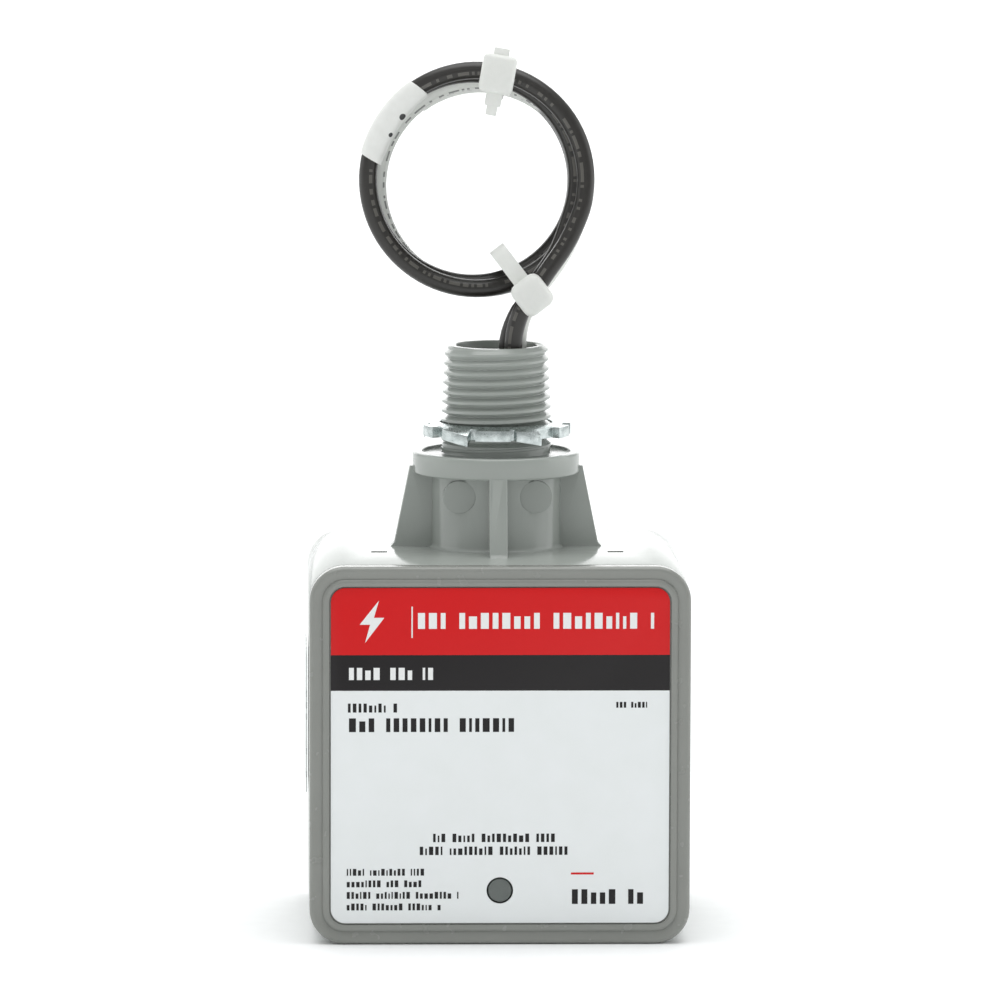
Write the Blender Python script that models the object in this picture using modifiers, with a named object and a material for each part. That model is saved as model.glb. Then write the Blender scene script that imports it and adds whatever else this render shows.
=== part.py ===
"""A whole house surge protector, in metres with +Z up and its front facing -Y.

A square moulded case holds a varistor board behind a clip-in front cover. A gusseted neck on top of the case
carries a flange and a half-inch threaded nipple with its locknut. Three leads leave the nipple and are wound
into a tied coil. The origin is at the middle of the bottom face.
"""

import math

import bmesh
import bpy
from mathutils import Matrix, Vector

MM = 0.001
GAP = 0.3 * MM  # clearance that each piece keeps to its neighbours

# Case and cover
body_width = 71.5 * MM
body_height = 71.5 * MM
case_depth = 56.0 * MM
cover_depth = 3.2 * MM
corner_radius = 6.6 * MM
wall = 2.4 * MM
back_edge_radius = 2.0 * MM
front_edge_radius = 0.9 * MM

# Recess of the front label
bezel_width = 3.7 * MM
recess_radius = 3.0 * MM
recess_depth = 0.9 * MM
label_thickness = 0.25 * MM

# Labels on the two sides of the case
side_label_height = 27.5 * MM
side_label_length = 24.0 * MM
side_label_bottom = 25.5 * MM
side_label_radius = 1.5 * MM

# Snap arms of the cover and their windows in the case
skirt_depth = 3.0 * MM
skirt_wall = 1.5 * MM
snap_spacing = 44.8 * MM
snap_reach = 19.4 * MM
arm_width = 3.0 * MM
arm_thickness = 1.6 * MM
tooth_width = 2.4 * MM
tooth_length = 1.4 * MM

# Neck, flange and threaded nipple
neck_setback = 29.5 * MM
neck_height = 14.4 * MM
neck_radius = 12.35 * MM
flange_radius = 15.9 * MM
flange_thickness = 3.85 * MM
flange_edge_radius = 0.5 * MM
seat_width = 1.8 * MM
seat_recess = 1.0 * MM
nipple_length = 20.2 * MM
nipple_radius = 10.45 * MM
nipple_tip_radius = 9.8 * MM
bore_radius = 7.7 * MM
thread_pitch = 25.4 * MM / 14
thread_depth = 1.1 * MM
thread_crests = 7
thread_start = 1.0 * MM

# Gussets of the neck
gusset_count = 4
gusset_width = 3.4 * MM
gusset_foot_radius = 19.6 * MM
gusset_top_radius = 16.45 * MM
gusset_lap = 1.4 * MM
gusset_root = 0.8 * MM

# Locknut
nut_height = 4.3 * MM
nut_thickness = 2.8 * MM
nut_wall = 1.75 * MM
lug_count = 10
lug_length = 1.7 * MM
lug_share = 0.62

# Circuit board and its screws
board_thickness = 1.6 * MM
board_margin = 2.8 * MM
board_corner_radius = 2.0 * MM
post_height = 7.0 * MM
post_radius = 3.2 * MM
post_inset = 3.6 * MM
screw_radius = 1.4 * MM
screw_length = 6.0 * MM
screw_head_radius = 2.7 * MM
screw_head_height = 2.0 * MM

# Parts on the board
varistor_count = 6
varistor_radius = 10.2 * MM
varistor_thickness = 4.6 * MM
varistor_pitch = 8.4 * MM
varistor_stand = 3.0 * MM
leg_radius = 0.4 * MM
leg_spacing = 10.0 * MM
fuse_count = 3
fuse_radius = 2.0 * MM
fuse_length = 9.0 * MM
fuse_span = 13.0 * MM
fuse_pitch = 16.8 * MM
resistor_count = 2
resistor_radius = 1.5 * MM
resistor_length = 6.5 * MM
resistor_span = 10.0 * MM
resistor_pitch = 6.5 * MM
axial_stand = 1.0 * MM
capacitor_size = (12.0 * MM, 9.0 * MM, 6.0 * MM)

# Status light
light_height = 10.2 * MM
pipe_radius = 2.2 * MM
pipe_collar_radius = 3.1 * MM
pipe_collar_thickness = 1.0 * MM
led_radius = 1.5 * MM
led_length = 4.0 * MM

# Leads and their terminals
lead_radius = 1.7 * MM
terminal_count = 3
terminal_pitch = 10.0 * MM
terminal_offset = 1.0 * MM
terminal_wall = 0.6 * MM
terminal_length = 7.0 * MM
terminal_drop = 9.0 * MM
lead_mouths = (
    (3.1 * MM, -4.4 * MM),
    (2.1 * MM, -0.7 * MM),
    (3.5 * MM, 3.0 * MM),
)

# Coil of leads, in a frame on its axis: X to the right, Y away from the front, Z up the coil's plane
coil_offset = -3.85 * MM
coil_rise = 31.5 * MM
coil_tilt = math.radians(-5.4)
coil_yaw = math.radians(-1.7)
coil_inner_radius = 16.6 * MM
coil_outer_radius = 22.6 * MM
coil_front = -4.9 * MM
coil_back = 33.2 * MM

# Cable ties and the marker sleeve, in the coil's frame
tie_width = 3.2 * MM
tie_thickness = 1.2 * MM
tie_head_width = 6.5 * MM
tie_head_depth = 4.2 * MM
marker_start = math.radians(121)
marker_end = math.radians(168)
marker_thickness = 0.5 * MM
marker_reach = 2.4 * MM

# Places that follow from the sizes above
front_y = -(cover_depth + case_depth) / 2
lip_y = front_y + cover_depth
back_y = lip_y + case_depth
neck_y = lip_y + neck_setback
flange_bottom = body_height + neck_height
flange_top = flange_bottom + flange_thickness
nipple_top = flange_top + nipple_length
nut_bore = nipple_radius + GAP
nut_radius = nut_bore + nut_wall
lug_radius = nut_radius + lug_length
cavity_width = body_width - 2 * wall
cavity_height = body_height - 2 * wall
cavity_radius = corner_radius - wall
cavity_back = back_y - wall
board_back = cavity_back - post_height
board_front = board_back - board_thickness
board_width = cavity_width - 2 * board_margin
board_height = cavity_height - 2 * board_margin
middle_z = body_height / 2
terminal_radius = lead_radius + GAP + terminal_wall
terminal_z = body_height - wall - terminal_drop
varistor_z = terminal_z - terminal_radius - 1.4 * MM - varistor_radius
fuse_z = varistor_z - varistor_radius - 2 * MM - fuse_radius
screw_x = board_width / 2 - post_inset
screw_z = board_height / 2 - post_inset
component_x = (screw_x - screw_head_radius + pipe_collar_radius) / 2


def clear_scene():
    for obj in list(bpy.data.objects):
        bpy.data.objects.remove(obj, do_unlink=True)


def new_group(name):
    group = bpy.data.collections.new(name)
    bpy.context.scene.collection.children.link(group)
    return group


def finish_of(name, colour, roughness, metallic=0.0):
    """A Principled material of one colour."""
    material = bpy.data.materials.new(name)
    material.use_nodes = True
    shader = material.node_tree.nodes["Principled BSDF"]
    shader.inputs["Base Color"].default_value = (*colour, 1.0)
    shader.inputs["Roughness"].default_value = roughness
    shader.inputs["Metallic"].default_value = metallic
    material.diffuse_color = (*colour, 1.0)
    return material


def add_object(name, data):
    obj = bpy.data.objects.new(name, data)
    parts.objects.link(obj)
    return obj


def mesh_from(name, shape, sharp=math.radians(35)):
    """Turns a bmesh into an object, shaded smooth but for its sharp edges."""
    bmesh.ops.recalc_face_normals(shape, faces=shape.faces)
    mesh = bpy.data.meshes.new(name)
    shape.to_mesh(mesh)
    shape.free()
    mesh.shade_smooth()
    mesh.set_sharp_from_angle(angle=sharp)
    return add_object(name, mesh)


def box(name, low, high, radius=0.0, axis="Y", segments=6):
    """A box between two corners, with its four edges along one axis rounded."""
    low, high = Vector(low), Vector(high)
    size = high - low
    shape = bmesh.new()
    bmesh.ops.create_cube(shape, size=1.0)
    bmesh.ops.scale(shape, vec=size, verts=shape.verts)
    bmesh.ops.translate(shape, vec=(low + high) / 2, verts=shape.verts)
    if radius:
        i = "XYZ".index(axis)
        along = [e for e in shape.edges if abs(e.verts[0].co[i] - e.verts[1].co[i]) > size[i] / 2]
        bmesh.ops.bevel(shape, geom=along, offset=radius, segments=segments, profile=0.5, affect="EDGES")
    return mesh_from(name, shape)


def slab(name, width, height, radius, y_low, y_high, segments=6):
    """A rounded square slab that faces the front, centred on the case."""
    low = (-width / 2, y_low, middle_z - height / 2)
    high = (width / 2, y_high, middle_z + height / 2)
    return box(name, low, high, radius, "Y", segments)


def round_rim(obj, y, radius, segments):
    """Rounds the edges of a slab that lie in the plane y."""
    shape = bmesh.new()
    shape.from_mesh(obj.data)
    rim = [e for e in shape.edges if all(abs(v.co.y - y) < 1e-7 for v in e.verts)]
    bmesh.ops.bevel(shape, geom=rim, offset=radius, segments=segments, profile=0.5, affect="EDGES")
    shape.to_mesh(obj.data)
    shape.free()
    obj.data.shade_smooth()
    obj.data.set_sharp_from_angle(angle=math.radians(35))


def cylinder(name, radius, start, end, segments=16):
    """A closed cylinder between two points."""
    start, end = Vector(start), Vector(end)
    along = end - start
    turn = along.to_track_quat("Z", "Y").to_matrix().to_4x4()
    place = Matrix.Translation((start + end) / 2) @ turn
    shape = bmesh.new()
    bmesh.ops.create_cone(
        shape, cap_ends=True, segments=segments, radius1=radius, radius2=radius, depth=along.length, matrix=place
    )
    return mesh_from(name, shape)


def turned(name, profile, place, steps=36, closed=True):
    """Turns a profile of (radius, height) points about the Z axis of the matrix place."""
    mesh = bpy.data.meshes.new(name)
    points = [(radius, 0.0, height) for radius, height in profile]
    edges = [(i, i + 1) for i in range(len(points) - 1)]
    if closed:
        edges.append((len(points) - 1, 0))
    mesh.from_pydata(points, edges, [])
    obj = add_object(name, mesh)
    obj.matrix_world = place
    screw = obj.modifiers.new("turn", "SCREW")
    screw.axis = "Z"
    screw.steps = steps
    screw.render_steps = steps
    screw.use_merge_vertices = True
    screw.merge_threshold = 0.00001
    return obj


def as_mesh(obj):
    """Replaces a curve, or an object with modifiers, by the mesh that it evaluates to."""
    bpy.context.view_layer.update()
    evaluated = obj.evaluated_get(bpy.context.evaluated_depsgraph_get())
    mesh = bpy.data.meshes.new_from_object(evaluated)
    shape = bmesh.new()
    shape.from_mesh(mesh)
    bmesh.ops.remove_doubles(shape, verts=shape.verts, dist=0.000001)
    bmesh.ops.recalc_face_normals(shape, faces=shape.faces)
    shape.to_mesh(mesh)
    shape.free()
    mesh.shade_smooth()
    mesh.set_sharp_from_angle(angle=math.radians(35))
    name, place = obj.name, obj.matrix_world.copy()
    bpy.data.objects.remove(obj, do_unlink=True)
    made = add_object(name, mesh)
    made.matrix_world = place
    return made


def plate(name, outlines, thickness, place):
    """A flat plate with the given outlines in the XY plane of the matrix place, the first one outermost."""
    curve = bpy.data.curves.new(name, "CURVE")
    curve.dimensions = "2D"
    curve.fill_mode = "BOTH"
    curve.extrude = thickness / 2
    for outline in outlines:
        spline = curve.splines.new("POLY")
        spline.points.add(len(outline) - 1)
        for point, (x, y) in zip(spline.points, outline):
            point.co = (x, y, 0.0, 1.0)
        spline.use_cyclic_u = True
    obj = add_object(name, curve)
    obj.matrix_world = place
    return as_mesh(obj)


def tube(name, points, radius):
    """A round tube with closed ends along a list of points."""
    curve = bpy.data.curves.new(name, "CURVE")
    curve.dimensions = "3D"
    curve.bevel_depth = radius
    curve.bevel_resolution = 2
    curve.use_fill_caps = True
    spline = curve.splines.new("POLY")
    spline.points.add(len(points) - 1)
    for point, place in zip(spline.points, points):
        point.co = (*place, 1.0)
    return add_object(name, curve)


def smooth_route(corners, steps=3):
    """Points on a Catmull-Rom curve through the corners, with the given number of steps in each stretch."""
    corners = [Vector(corner) for corner in corners]
    ends = [2 * corners[0] - corners[1], *corners, 2 * corners[-1] - corners[-2]]
    route = []
    for a, b, c, d in zip(ends, ends[1:], ends[2:], ends[3:]):
        for step in range(steps):
            t = step / steps
            pull = (c - a) * t + (2 * a - 5 * b + 4 * c - d) * t**2 + (3 * b - a - 3 * c + d) * t**3
            route.append(b + pull / 2)
    route.append(corners[-1])
    return route


def combine(obj, tool, operation):
    """Cuts a tool from an object, or joins the tool to it."""
    parts.objects.unlink(tool)
    cutters.objects.link(tool)
    tool.hide_render = True
    tool.display_type = "WIRE"
    modifier = obj.modifiers.new(tool.name, "BOOLEAN")
    modifier.operation = operation
    modifier.object = tool


def cut(obj, tool):
    combine(obj, tool, "DIFFERENCE")


def join(obj, tool):
    combine(obj, tool, "UNION")


def give(obj, finish):
    """Gives an object its one material."""
    obj.data.materials.clear()
    obj.data.materials.append(finish)
    return obj


def place_at(*point):
    return Matrix.Translation(Vector(point))


def neck_place():
    return place_at(0.0, neck_y, 0.0)


def build_rear_case():
    """The open-fronted box, with four posts for the board, snap windows and the wire passage to the neck."""
    case = slab("rear_case", body_width, body_height, corner_radius, lip_y + GAP, back_y)
    round_rim(case, back_y, back_edge_radius, 3)
    cut(case, slab("case_cavity", cavity_width, cavity_height, cavity_radius, front_y, cavity_back))
    cut(case, cylinder("wire_passage", bore_radius, (0, neck_y, body_height - 2 * wall), (0, neck_y, nipple_top), 24))
    for side_x in (-1, 1):
        for side_z in (-1, 1):
            x, z = side_x * screw_x, middle_z + side_z * screw_z
            tag = f"{side_x}_{side_z}"
            join(case, cylinder(f"post_{tag}", post_radius, (x, board_back + GAP, z), (x, back_y - wall / 2, z)))
            pilot_end = board_front + screw_length + GAP
            pilot = cylinder(f"pilot_{tag}", screw_radius + GAP, (x, board_back - GAP, z), (x, pilot_end, z), 12)
            cut(case, pilot)
            cut(case, snap_window(side_x, side_z))
    return give(case, moulded_grey)


def snap_window(side_x, side_z):
    """A cutter for the slot in the top or bottom wall that a snap tooth enters."""
    x, y = side_x * snap_spacing / 2, lip_y + snap_reach
    half_x, half_y = tooth_width / 2 + GAP, tooth_length / 2 + GAP
    outer = middle_z + side_z * (body_height / 2 + wall)
    inner = middle_z + side_z * (cavity_height / 2 - wall)
    low = (x - half_x, y - half_y, min(outer, inner))
    high = (x + half_x, y + half_y, max(outer, inner))
    return box(f"window_{side_x}_{side_z}", low, high)


def build_front_cover():
    """The cover plate with its label recess, light hole, inner skirt and four snap arms."""
    cover = slab("front_cover", body_width, body_height, corner_radius, front_y, lip_y)
    round_rim(cover, front_y, front_edge_radius, 2)
    recess_width, recess_height = body_width - 2 * bezel_width, body_height - 2 * bezel_width
    recess = slab("label_recess", recess_width, recess_height, recess_radius, front_y - GAP, front_y + recess_depth)
    cut(cover, recess)
    skirt_width, skirt_height = cavity_width - 2 * GAP, cavity_height - 2 * GAP
    skirt = slab("skirt", skirt_width, skirt_height, cavity_radius - GAP, lip_y - wall / 4, lip_y + skirt_depth)
    inside = slab(
        "skirt_inside",
        skirt_width - 2 * skirt_wall,
        skirt_height - 2 * skirt_wall,
        cavity_radius - GAP - skirt_wall,
        lip_y,
        lip_y + 2 * skirt_depth,
    )
    join(cover, skirt)
    cut(cover, inside)
    for side_x in (-1, 1):
        for side_z in (-1, 1):
            join(cover, snap_arm(side_x, side_z))
            join(cover, snap_tooth(side_x, side_z))
    hole_start = (0, front_y - GAP, light_height)
    hole_end = (0, lip_y + GAP, light_height)
    cut(cover, cylinder("light_hole", pipe_radius + GAP, hole_start, hole_end, 20))
    return give(cover, moulded_grey)


def snap_arm(side_x, side_z):
    x = side_x * snap_spacing / 2
    outer = middle_z + side_z * (cavity_height / 2 - GAP - 0.02 * MM)
    inner = outer - side_z * arm_thickness
    low = (x - arm_width / 2, lip_y - wall / 5, min(outer, inner))
    high = (x + arm_width / 2, lip_y + snap_reach + tooth_length, max(outer, inner))
    return box(f"arm_{side_x}_{side_z}", low, high)


def snap_tooth(side_x, side_z):
    x, y = side_x * snap_spacing / 2, lip_y + snap_reach
    outer = middle_z + side_z * (cavity_height / 2 + wall / 2)
    inner = middle_z + side_z * (cavity_height / 2 - arm_thickness / 2)
    low = (x - tooth_width / 2, y - tooth_length / 2, min(outer, inner))
    high = (x + tooth_width / 2, y + tooth_length / 2, max(outer, inner))
    return box(f"tooth_{side_x}_{side_z}", low, high)


def build_labels():
    """The front label in the cover's recess, and a plain label on each side of the case."""
    width = body_width - 2 * bezel_width - 2 * GAP
    height = body_height - 2 * bezel_width - 2 * GAP
    back = front_y + recess_depth - GAP
    label = slab("front_label", width, height, recess_radius - GAP, back - label_thickness, back)
    hole_start = (0, front_y - GAP, light_height)
    hole_end = (0, lip_y, light_height)
    cut(label, cylinder("label_hole", pipe_radius + GAP, hole_start, hole_end, 20))
    give(label, label_film)
    for side, name in ((-1, "side_label_left"), (1, "side_label_right")):
        inner = side * (body_width / 2 + GAP)
        outer = inner + side * label_thickness
        low = (min(inner, outer), neck_y - side_label_length / 2, side_label_bottom)
        high = (max(inner, outer), neck_y + side_label_length / 2, side_label_bottom + side_label_height)
        give(box(name, low, high, side_label_radius, "X", 4), label_film)


def thread_profile():
    """Crests and roots of the tapered thread from the top down, as closed rings at the thread's pitch."""
    points = []
    for crest in range(thread_crests):
        drop = thread_start + crest * thread_pitch
        radius = nipple_tip_radius + (nipple_radius - nipple_tip_radius) * drop / (thread_crests * thread_pitch)
        points.append((radius, nipple_top - drop))
        points.append((radius - thread_depth, nipple_top - drop - thread_pitch / 2))
    return points


def build_neck():
    """The neck, flange and threaded nipple, one turned body on four gussets, bored for the leads."""
    foot = body_height + GAP
    seat_inner = flange_radius - seat_width
    shank_start = nipple_top - thread_start - thread_crests * thread_pitch
    edge = flange_edge_radius
    profile = [(nipple_tip_radius - thread_depth, nipple_top)]
    profile += thread_profile()
    profile += [
        (nipple_radius, shank_start),
        (nipple_radius, flange_top - seat_recess),
        (seat_inner, flange_top - seat_recess),
        (seat_inner, flange_top),
        (flange_radius - edge, flange_top),
        (flange_radius, flange_top - edge),
        (flange_radius, flange_bottom + edge),
        (flange_radius - edge, flange_bottom),
        (neck_radius, flange_bottom),
        (neck_radius, foot + 1.2 * MM),
        (neck_radius + 0.5 * MM, foot),
        (bore_radius, foot),
        (bore_radius, nipple_top),
    ]
    neck = turned("neck", profile, neck_place())
    for index in range(gusset_count):
        turn = Matrix.Rotation(index * math.tau / gusset_count, 4, "Z")
        stand = Matrix.Rotation(math.radians(90), 4, "X")
        join(neck, plate(f"gusset_{index}", [gusset_outline()], gusset_width, neck_place() @ turn @ stand))
    return give(neck, moulded_grey)


def gusset_outline():
    """One gusset in (radius, height): it leans in from a flared foot and laps the flange's side."""
    foot = body_height + GAP
    inner = neck_radius - wall
    return [
        (inner, foot),
        (gusset_foot_radius + 0.6 * MM, foot),
        (gusset_foot_radius, foot + 0.8 * MM),
        (gusset_top_radius, flange_bottom + gusset_lap),
        (flange_radius - wall / 2, flange_bottom + gusset_lap),
        (flange_radius - wall / 2, flange_bottom + gusset_root),
        (inner, flange_bottom + gusset_root),
    ]


def build_locknut():
    """The flat locknut with its ring of lugs, clear of the thread."""
    middle = flange_top + nut_height
    step = math.tau / lug_count
    outer = []
    for lug in range(lug_count):
        start = lug * step - lug_share * step / 2 - math.radians(95)
        ends = (start, start + lug_share * step)
        outer += [(nut_radius, ends[0]), (lug_radius, ends[0]), (lug_radius, sum(ends) / 2)]
        outer += [(lug_radius, ends[1]), (nut_radius, ends[1])]
    outline = [(radius * math.cos(angle), radius * math.sin(angle)) for radius, angle in outer]
    angles = [i * math.tau / 40 for i in range(40)]
    hole = [(nut_bore * math.cos(a), nut_bore * math.sin(a)) for a in angles]
    nut = plate("locknut", [outline, hole], nut_thickness, place_at(0.0, neck_y, middle))
    return give(nut, zinc_steel)


def build_board():
    """The circuit board and the four screws that hold it to the posts."""
    board = slab("circuit_board", board_width, board_height, board_corner_radius, board_front, board_back, 3)
    give(board, board_green)
    number = 0
    for side_x in (-1, 1):
        for side_z in (-1, 1):
            number += 1
            x, z = side_x * screw_x, middle_z + side_z * screw_z
            hole_start, hole_end = (x, board_front - GAP, z), (x, board_back + GAP, z)
            cut(board, cylinder(f"screw_hole_{number}", screw_radius + GAP, hole_start, hole_end, 12))
            place = place_at(x, board_front - GAP, z) @ Matrix.Rotation(math.radians(90), 4, "X")
            give(turned(f"board_screw_{number}", screw_profile(), place, 12, False), zinc_steel)


def screw_profile():
    """A pan-head screw in (radius, height), its head above 0."""
    head = screw_head_height
    return [
        (0.0, head),
        (screw_head_radius * 0.6, head),
        (screw_head_radius, head * 0.55),
        (screw_head_radius, 0.0),
        (screw_radius, 0.0),
        (screw_radius, -(screw_length - screw_radius)),
        (0.0, -screw_length),
    ]


def build_varistors():
    """The row of coated discs, each standing on two legs, face to face across the board."""
    middle_y = board_front - GAP - varistor_stand - varistor_radius
    half = varistor_thickness / 2
    disc = cylinder("varistor_1", varistor_radius, (-half, middle_y, 0), (half, middle_y, 0), 24)
    round_disc(disc)
    for side in (-1, 1):
        z = side * leg_spacing / 2
        leg = cylinder(f"varistor_leg_{side}", leg_radius, (0, middle_y, z), (0, board_front - GAP, z), 6)
        join(disc, leg)
    first = as_mesh(disc)
    give(first, varistor_coat)
    for index in range(varistor_count):
        copy = first if index == 0 else add_object(f"varistor_{index + 1}", first.data)
        copy.location = ((index - (varistor_count - 1) / 2) * varistor_pitch, 0.0, varistor_z)


def round_disc(disc):
    """Rounds the rims of a disc on the X axis."""
    bevel = disc.modifiers.new("rim", "BEVEL")
    bevel.width = varistor_thickness / 4
    bevel.segments = 2
    bevel.limit_method = "ANGLE"


def axial_part(name, radius, length, span, finish):
    """A barrel with two bent legs that stands on the board, centred on x = 0 and z = 0."""
    y = board_front - GAP - axial_stand - radius
    barrel = cylinder(name, radius, (-length / 2, y, 0), (length / 2, y, 0), 14)
    end = board_front - GAP
    bend = leg_radius * 2
    corners = [
        (-span / 2, end, 0),
        (-span / 2, y + bend, 0),
        (-span / 2 + bend, y, 0),
        (span / 2 - bend, y, 0),
        (span / 2, y + bend, 0),
        (span / 2, end, 0),
    ]
    join(barrel, as_mesh(tube(f"{name}_legs", corners, leg_radius)))
    return give(as_mesh(barrel), finish)


def build_small_parts():
    """Thermal fuses above, resistors and the film capacitor beside the status light."""
    first = axial_part("thermal_fuse_1", fuse_radius, fuse_length, fuse_span, fuse_body)
    for index in range(fuse_count):
        copy = first if index == 0 else add_object(f"thermal_fuse_{index + 1}", first.data)
        copy.location = ((index - (fuse_count - 1) / 2) * fuse_pitch, 0.0, fuse_z)
    first = axial_part("resistor_1", resistor_radius, resistor_length, resistor_span, resistor_body)
    for index in range(resistor_count):
        copy = first if index == 0 else add_object(f"resistor_{index + 1}", first.data)
        height = light_height + (index - (resistor_count - 1) / 2) * resistor_pitch
        copy.location = (component_x, 0.0, height)
    width, depth, height = capacitor_size
    low = (-component_x - width / 2, board_front - GAP - depth, light_height - height / 2)
    high = (-component_x + width / 2, board_front - GAP, light_height + height / 2)
    give(box("film_capacitor", low, high, 0.8 * MM, "Y", 2), capacitor_body)


def build_status_light():
    """The light pipe from the front label to the board, and the lamp behind it."""
    lens_y = front_y + recess_depth - GAP - label_thickness
    led_tip = board_front - GAP - led_length
    pipe_end = led_tip - GAP
    collar = lip_y + GAP
    profile = [
        (0.0, lens_y),
        (pipe_radius, lens_y),
        (pipe_radius, collar),
        (pipe_collar_radius, collar),
        (pipe_collar_radius, collar + pipe_collar_thickness),
        (pipe_radius, collar + pipe_collar_thickness),
        (pipe_radius, pipe_end),
        (0.0, pipe_end),
    ]
    along = [(radius, -y) for radius, y in profile]
    place = place_at(0.0, 0.0, light_height) @ Matrix.Rotation(math.radians(90), 4, "X")
    give(turned("light_pipe", along, place, 20, False), clear_acrylic)
    dome = led_radius
    lamp = [(0.0, -led_tip)]
    for step in (1, 2, 3):
        angle = step * math.pi / 6
        lamp.append((dome * math.sin(angle), -led_tip - dome * (1 - math.cos(angle))))
    lamp += [
        (dome, -(board_front - GAP - 1.0 * MM)),
        (dome + 0.4 * MM, -(board_front - GAP - 1.0 * MM)),
        (dome + 0.4 * MM, -(board_front - GAP)),
        (0.0, -(board_front - GAP)),
    ]
    give(turned("status_led", lamp, place, 16, False), lamp_green)


def terminal_x(index):
    return terminal_offset + (index - (terminal_count - 1) / 2) * terminal_pitch


def build_terminals():
    """Brass cups on the board, each open towards the front for the end of a lead."""
    back, front = board_front - GAP, board_front - GAP - terminal_length
    profile = [
        (terminal_radius, -front),
        (terminal_radius, -back),
        (0.0, -back),
        (0.0, -(back - terminal_wall)),
        (lead_radius + GAP, -(back - terminal_wall)),
        (lead_radius + GAP, -front),
        (terminal_radius, -front),
    ]
    for index in range(terminal_count):
        place = place_at(terminal_x(index), 0.0, terminal_z) @ Matrix.Rotation(math.radians(90), 4, "X")
        give(turned(f"lead_terminal_{index + 1}", profile, place, 16, False), brass)


def lead_mouth(index, height=0.0):
    """Where a lead's centre is above the nipple's top by the given height."""
    x, y = lead_mouths[index]
    return Vector((x, neck_y + y, nipple_top + height))


def build_inner_leads():
    """The stretch of each lead from its terminal, inside the case and up the bore to the nipple's mouth."""
    names = ("inner_lead_black_1", "inner_lead_black_2", "inner_lead_white")
    cups = (2, 0, 1)
    seat_y = board_front - 2 * GAP - terminal_wall
    for index, (name, cup) in enumerate(zip(names, cups)):
        mouth = lead_mouth(index, -GAP)
        x = terminal_x(cup)
        elbow = Vector((x, board_front - terminal_length - 4.5 * MM, terminal_z + 0.2 * MM))
        top = Vector((mouth.x, mouth.y, body_height - wall - 1.0 * MM))
        bend = (top + elbow) / 2 + Vector((0.0, -0.5 * MM, -0.8 * MM))
        corners = [mouth, mouth.lerp(top, 0.4), mouth.lerp(top, 0.8), top, bend, elbow]
        corners += [Vector((x, board_front - terminal_length - 1.0 * MM, terminal_z)), Vector((x, seat_y, terminal_z))]
        finish = wire_white if name.endswith("white") else wire_black
        give(tube(name, smooth_route(corners), lead_radius), finish)


# Each lead's free route from the nipple's mouth to where it joins the coil, as steps from the neck's axis at
# the height of the nipple's top.
lead_routes = {
    "lead_black_1": (
        (3.1, -4.4, 0.0),
        (3.25, -4.5, 2.2),
        (3.8, -4.7, 4.7),
        (4.7, -5.0, 7.1),
        (5.93, -5.4, 9.2),
    ),
    "lead_black_2": (
        (2.1, -0.7, 0.0),
        (2.45, -0.8, 2.2),
        (3.3, -1.0, 4.6),
        (4.5, -1.3, 6.9),
        (6.0, -1.7, 8.8),
    ),
    "lead_white": (
        (3.5, 3.0, 0.0),
        (3.65, 2.9, 2.1),
        (4.1, 2.7, 4.4),
        (4.9, 2.4, 6.6),
        (6.1, 2.0, 8.5),
    ),
}


def build_free_leads():
    for name, route in lead_routes.items():
        corners = [Vector((x * MM, neck_y + y * MM, nipple_top + z * MM)) for x, y, z in route]
        finish = wire_white if name.endswith("white") else wire_black
        give(tube(name, smooth_route(corners, 2), lead_radius), finish)


def coil_place():
    """The coil's own frame, on its axis above the nipple."""
    centre = place_at(coil_offset, neck_y, nipple_top + coil_rise)
    return centre @ Matrix.Rotation(coil_yaw, 4, "Z") @ Matrix.Rotation(coil_tilt, 4, "X")


def build_coil():
    """One ring of the coiled leads' outer shape."""
    edge = lead_radius * 0.8
    low, high = coil_inner_radius, coil_outer_radius
    profile = [
        (high - edge, -coil_front),
        (high, -coil_front - edge),
        (high, -coil_back + edge),
        (high - edge, -coil_back),
        (low + edge, -coil_back),
        (low, -coil_back + edge),
        (low, -coil_front - edge),
        (low + edge, -coil_front),
    ]
    place = coil_place() @ Matrix.Rotation(math.radians(90), 4, "X")
    return give(turned("lead_coil", profile, place, 36), wire_black)


def tie(name, head_x, head_z, inward, reach_in, reach_out, tail_reach, head_length):
    """A closed strap round the coil's section, with its head in front and its trimmed tail.

    The strap lies in the plane through the head along the direction inward and the coil's depth.
    """
    slack = 0.4 * MM
    front, back = coil_front - slack, coil_back + slack
    thick = tie_thickness
    outer = [(reach_in + thick, front - thick), (reach_in + thick, back + thick)]
    outer += [(-reach_out - thick, back + thick), (-reach_out - thick, front - thick)]
    inner = [(reach_in, front), (reach_in, back), (-reach_out, back), (-reach_out, front)]
    along = Vector((math.cos(inward), 0.0, math.sin(inward)))
    depth = Vector((0.0, 1.0, 0.0))
    across = along.cross(depth)
    frame = Matrix((along, depth, across)).transposed().to_4x4()
    place = coil_place() @ place_at(head_x, 0.0, head_z) @ frame
    strap = plate(name, [outer, inner], tie_width, place)
    head_front = front - tie_head_depth
    head = box(
        f"{name}_head",
        (-head_length / 2, head_front, -tie_head_width / 2),
        (head_length / 2, front - thick / 2, tie_head_width / 2),
        1.0 * MM,
        "Y",
        2,
    )
    head.matrix_world = place
    join(strap, head)
    if tail_reach:
        low = (head_length / 2 - 0.5 * MM, front - thick - 1.2 * MM, -tie_width * 0.45)
        high = (tail_reach, front - thick - 0.1 * MM, tie_width * 0.45)
        tail = box(f"{name}_tail", low, high)
        tail.matrix_world = place
        join(strap, tail)
    return give(strap, tie_nylon)


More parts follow.
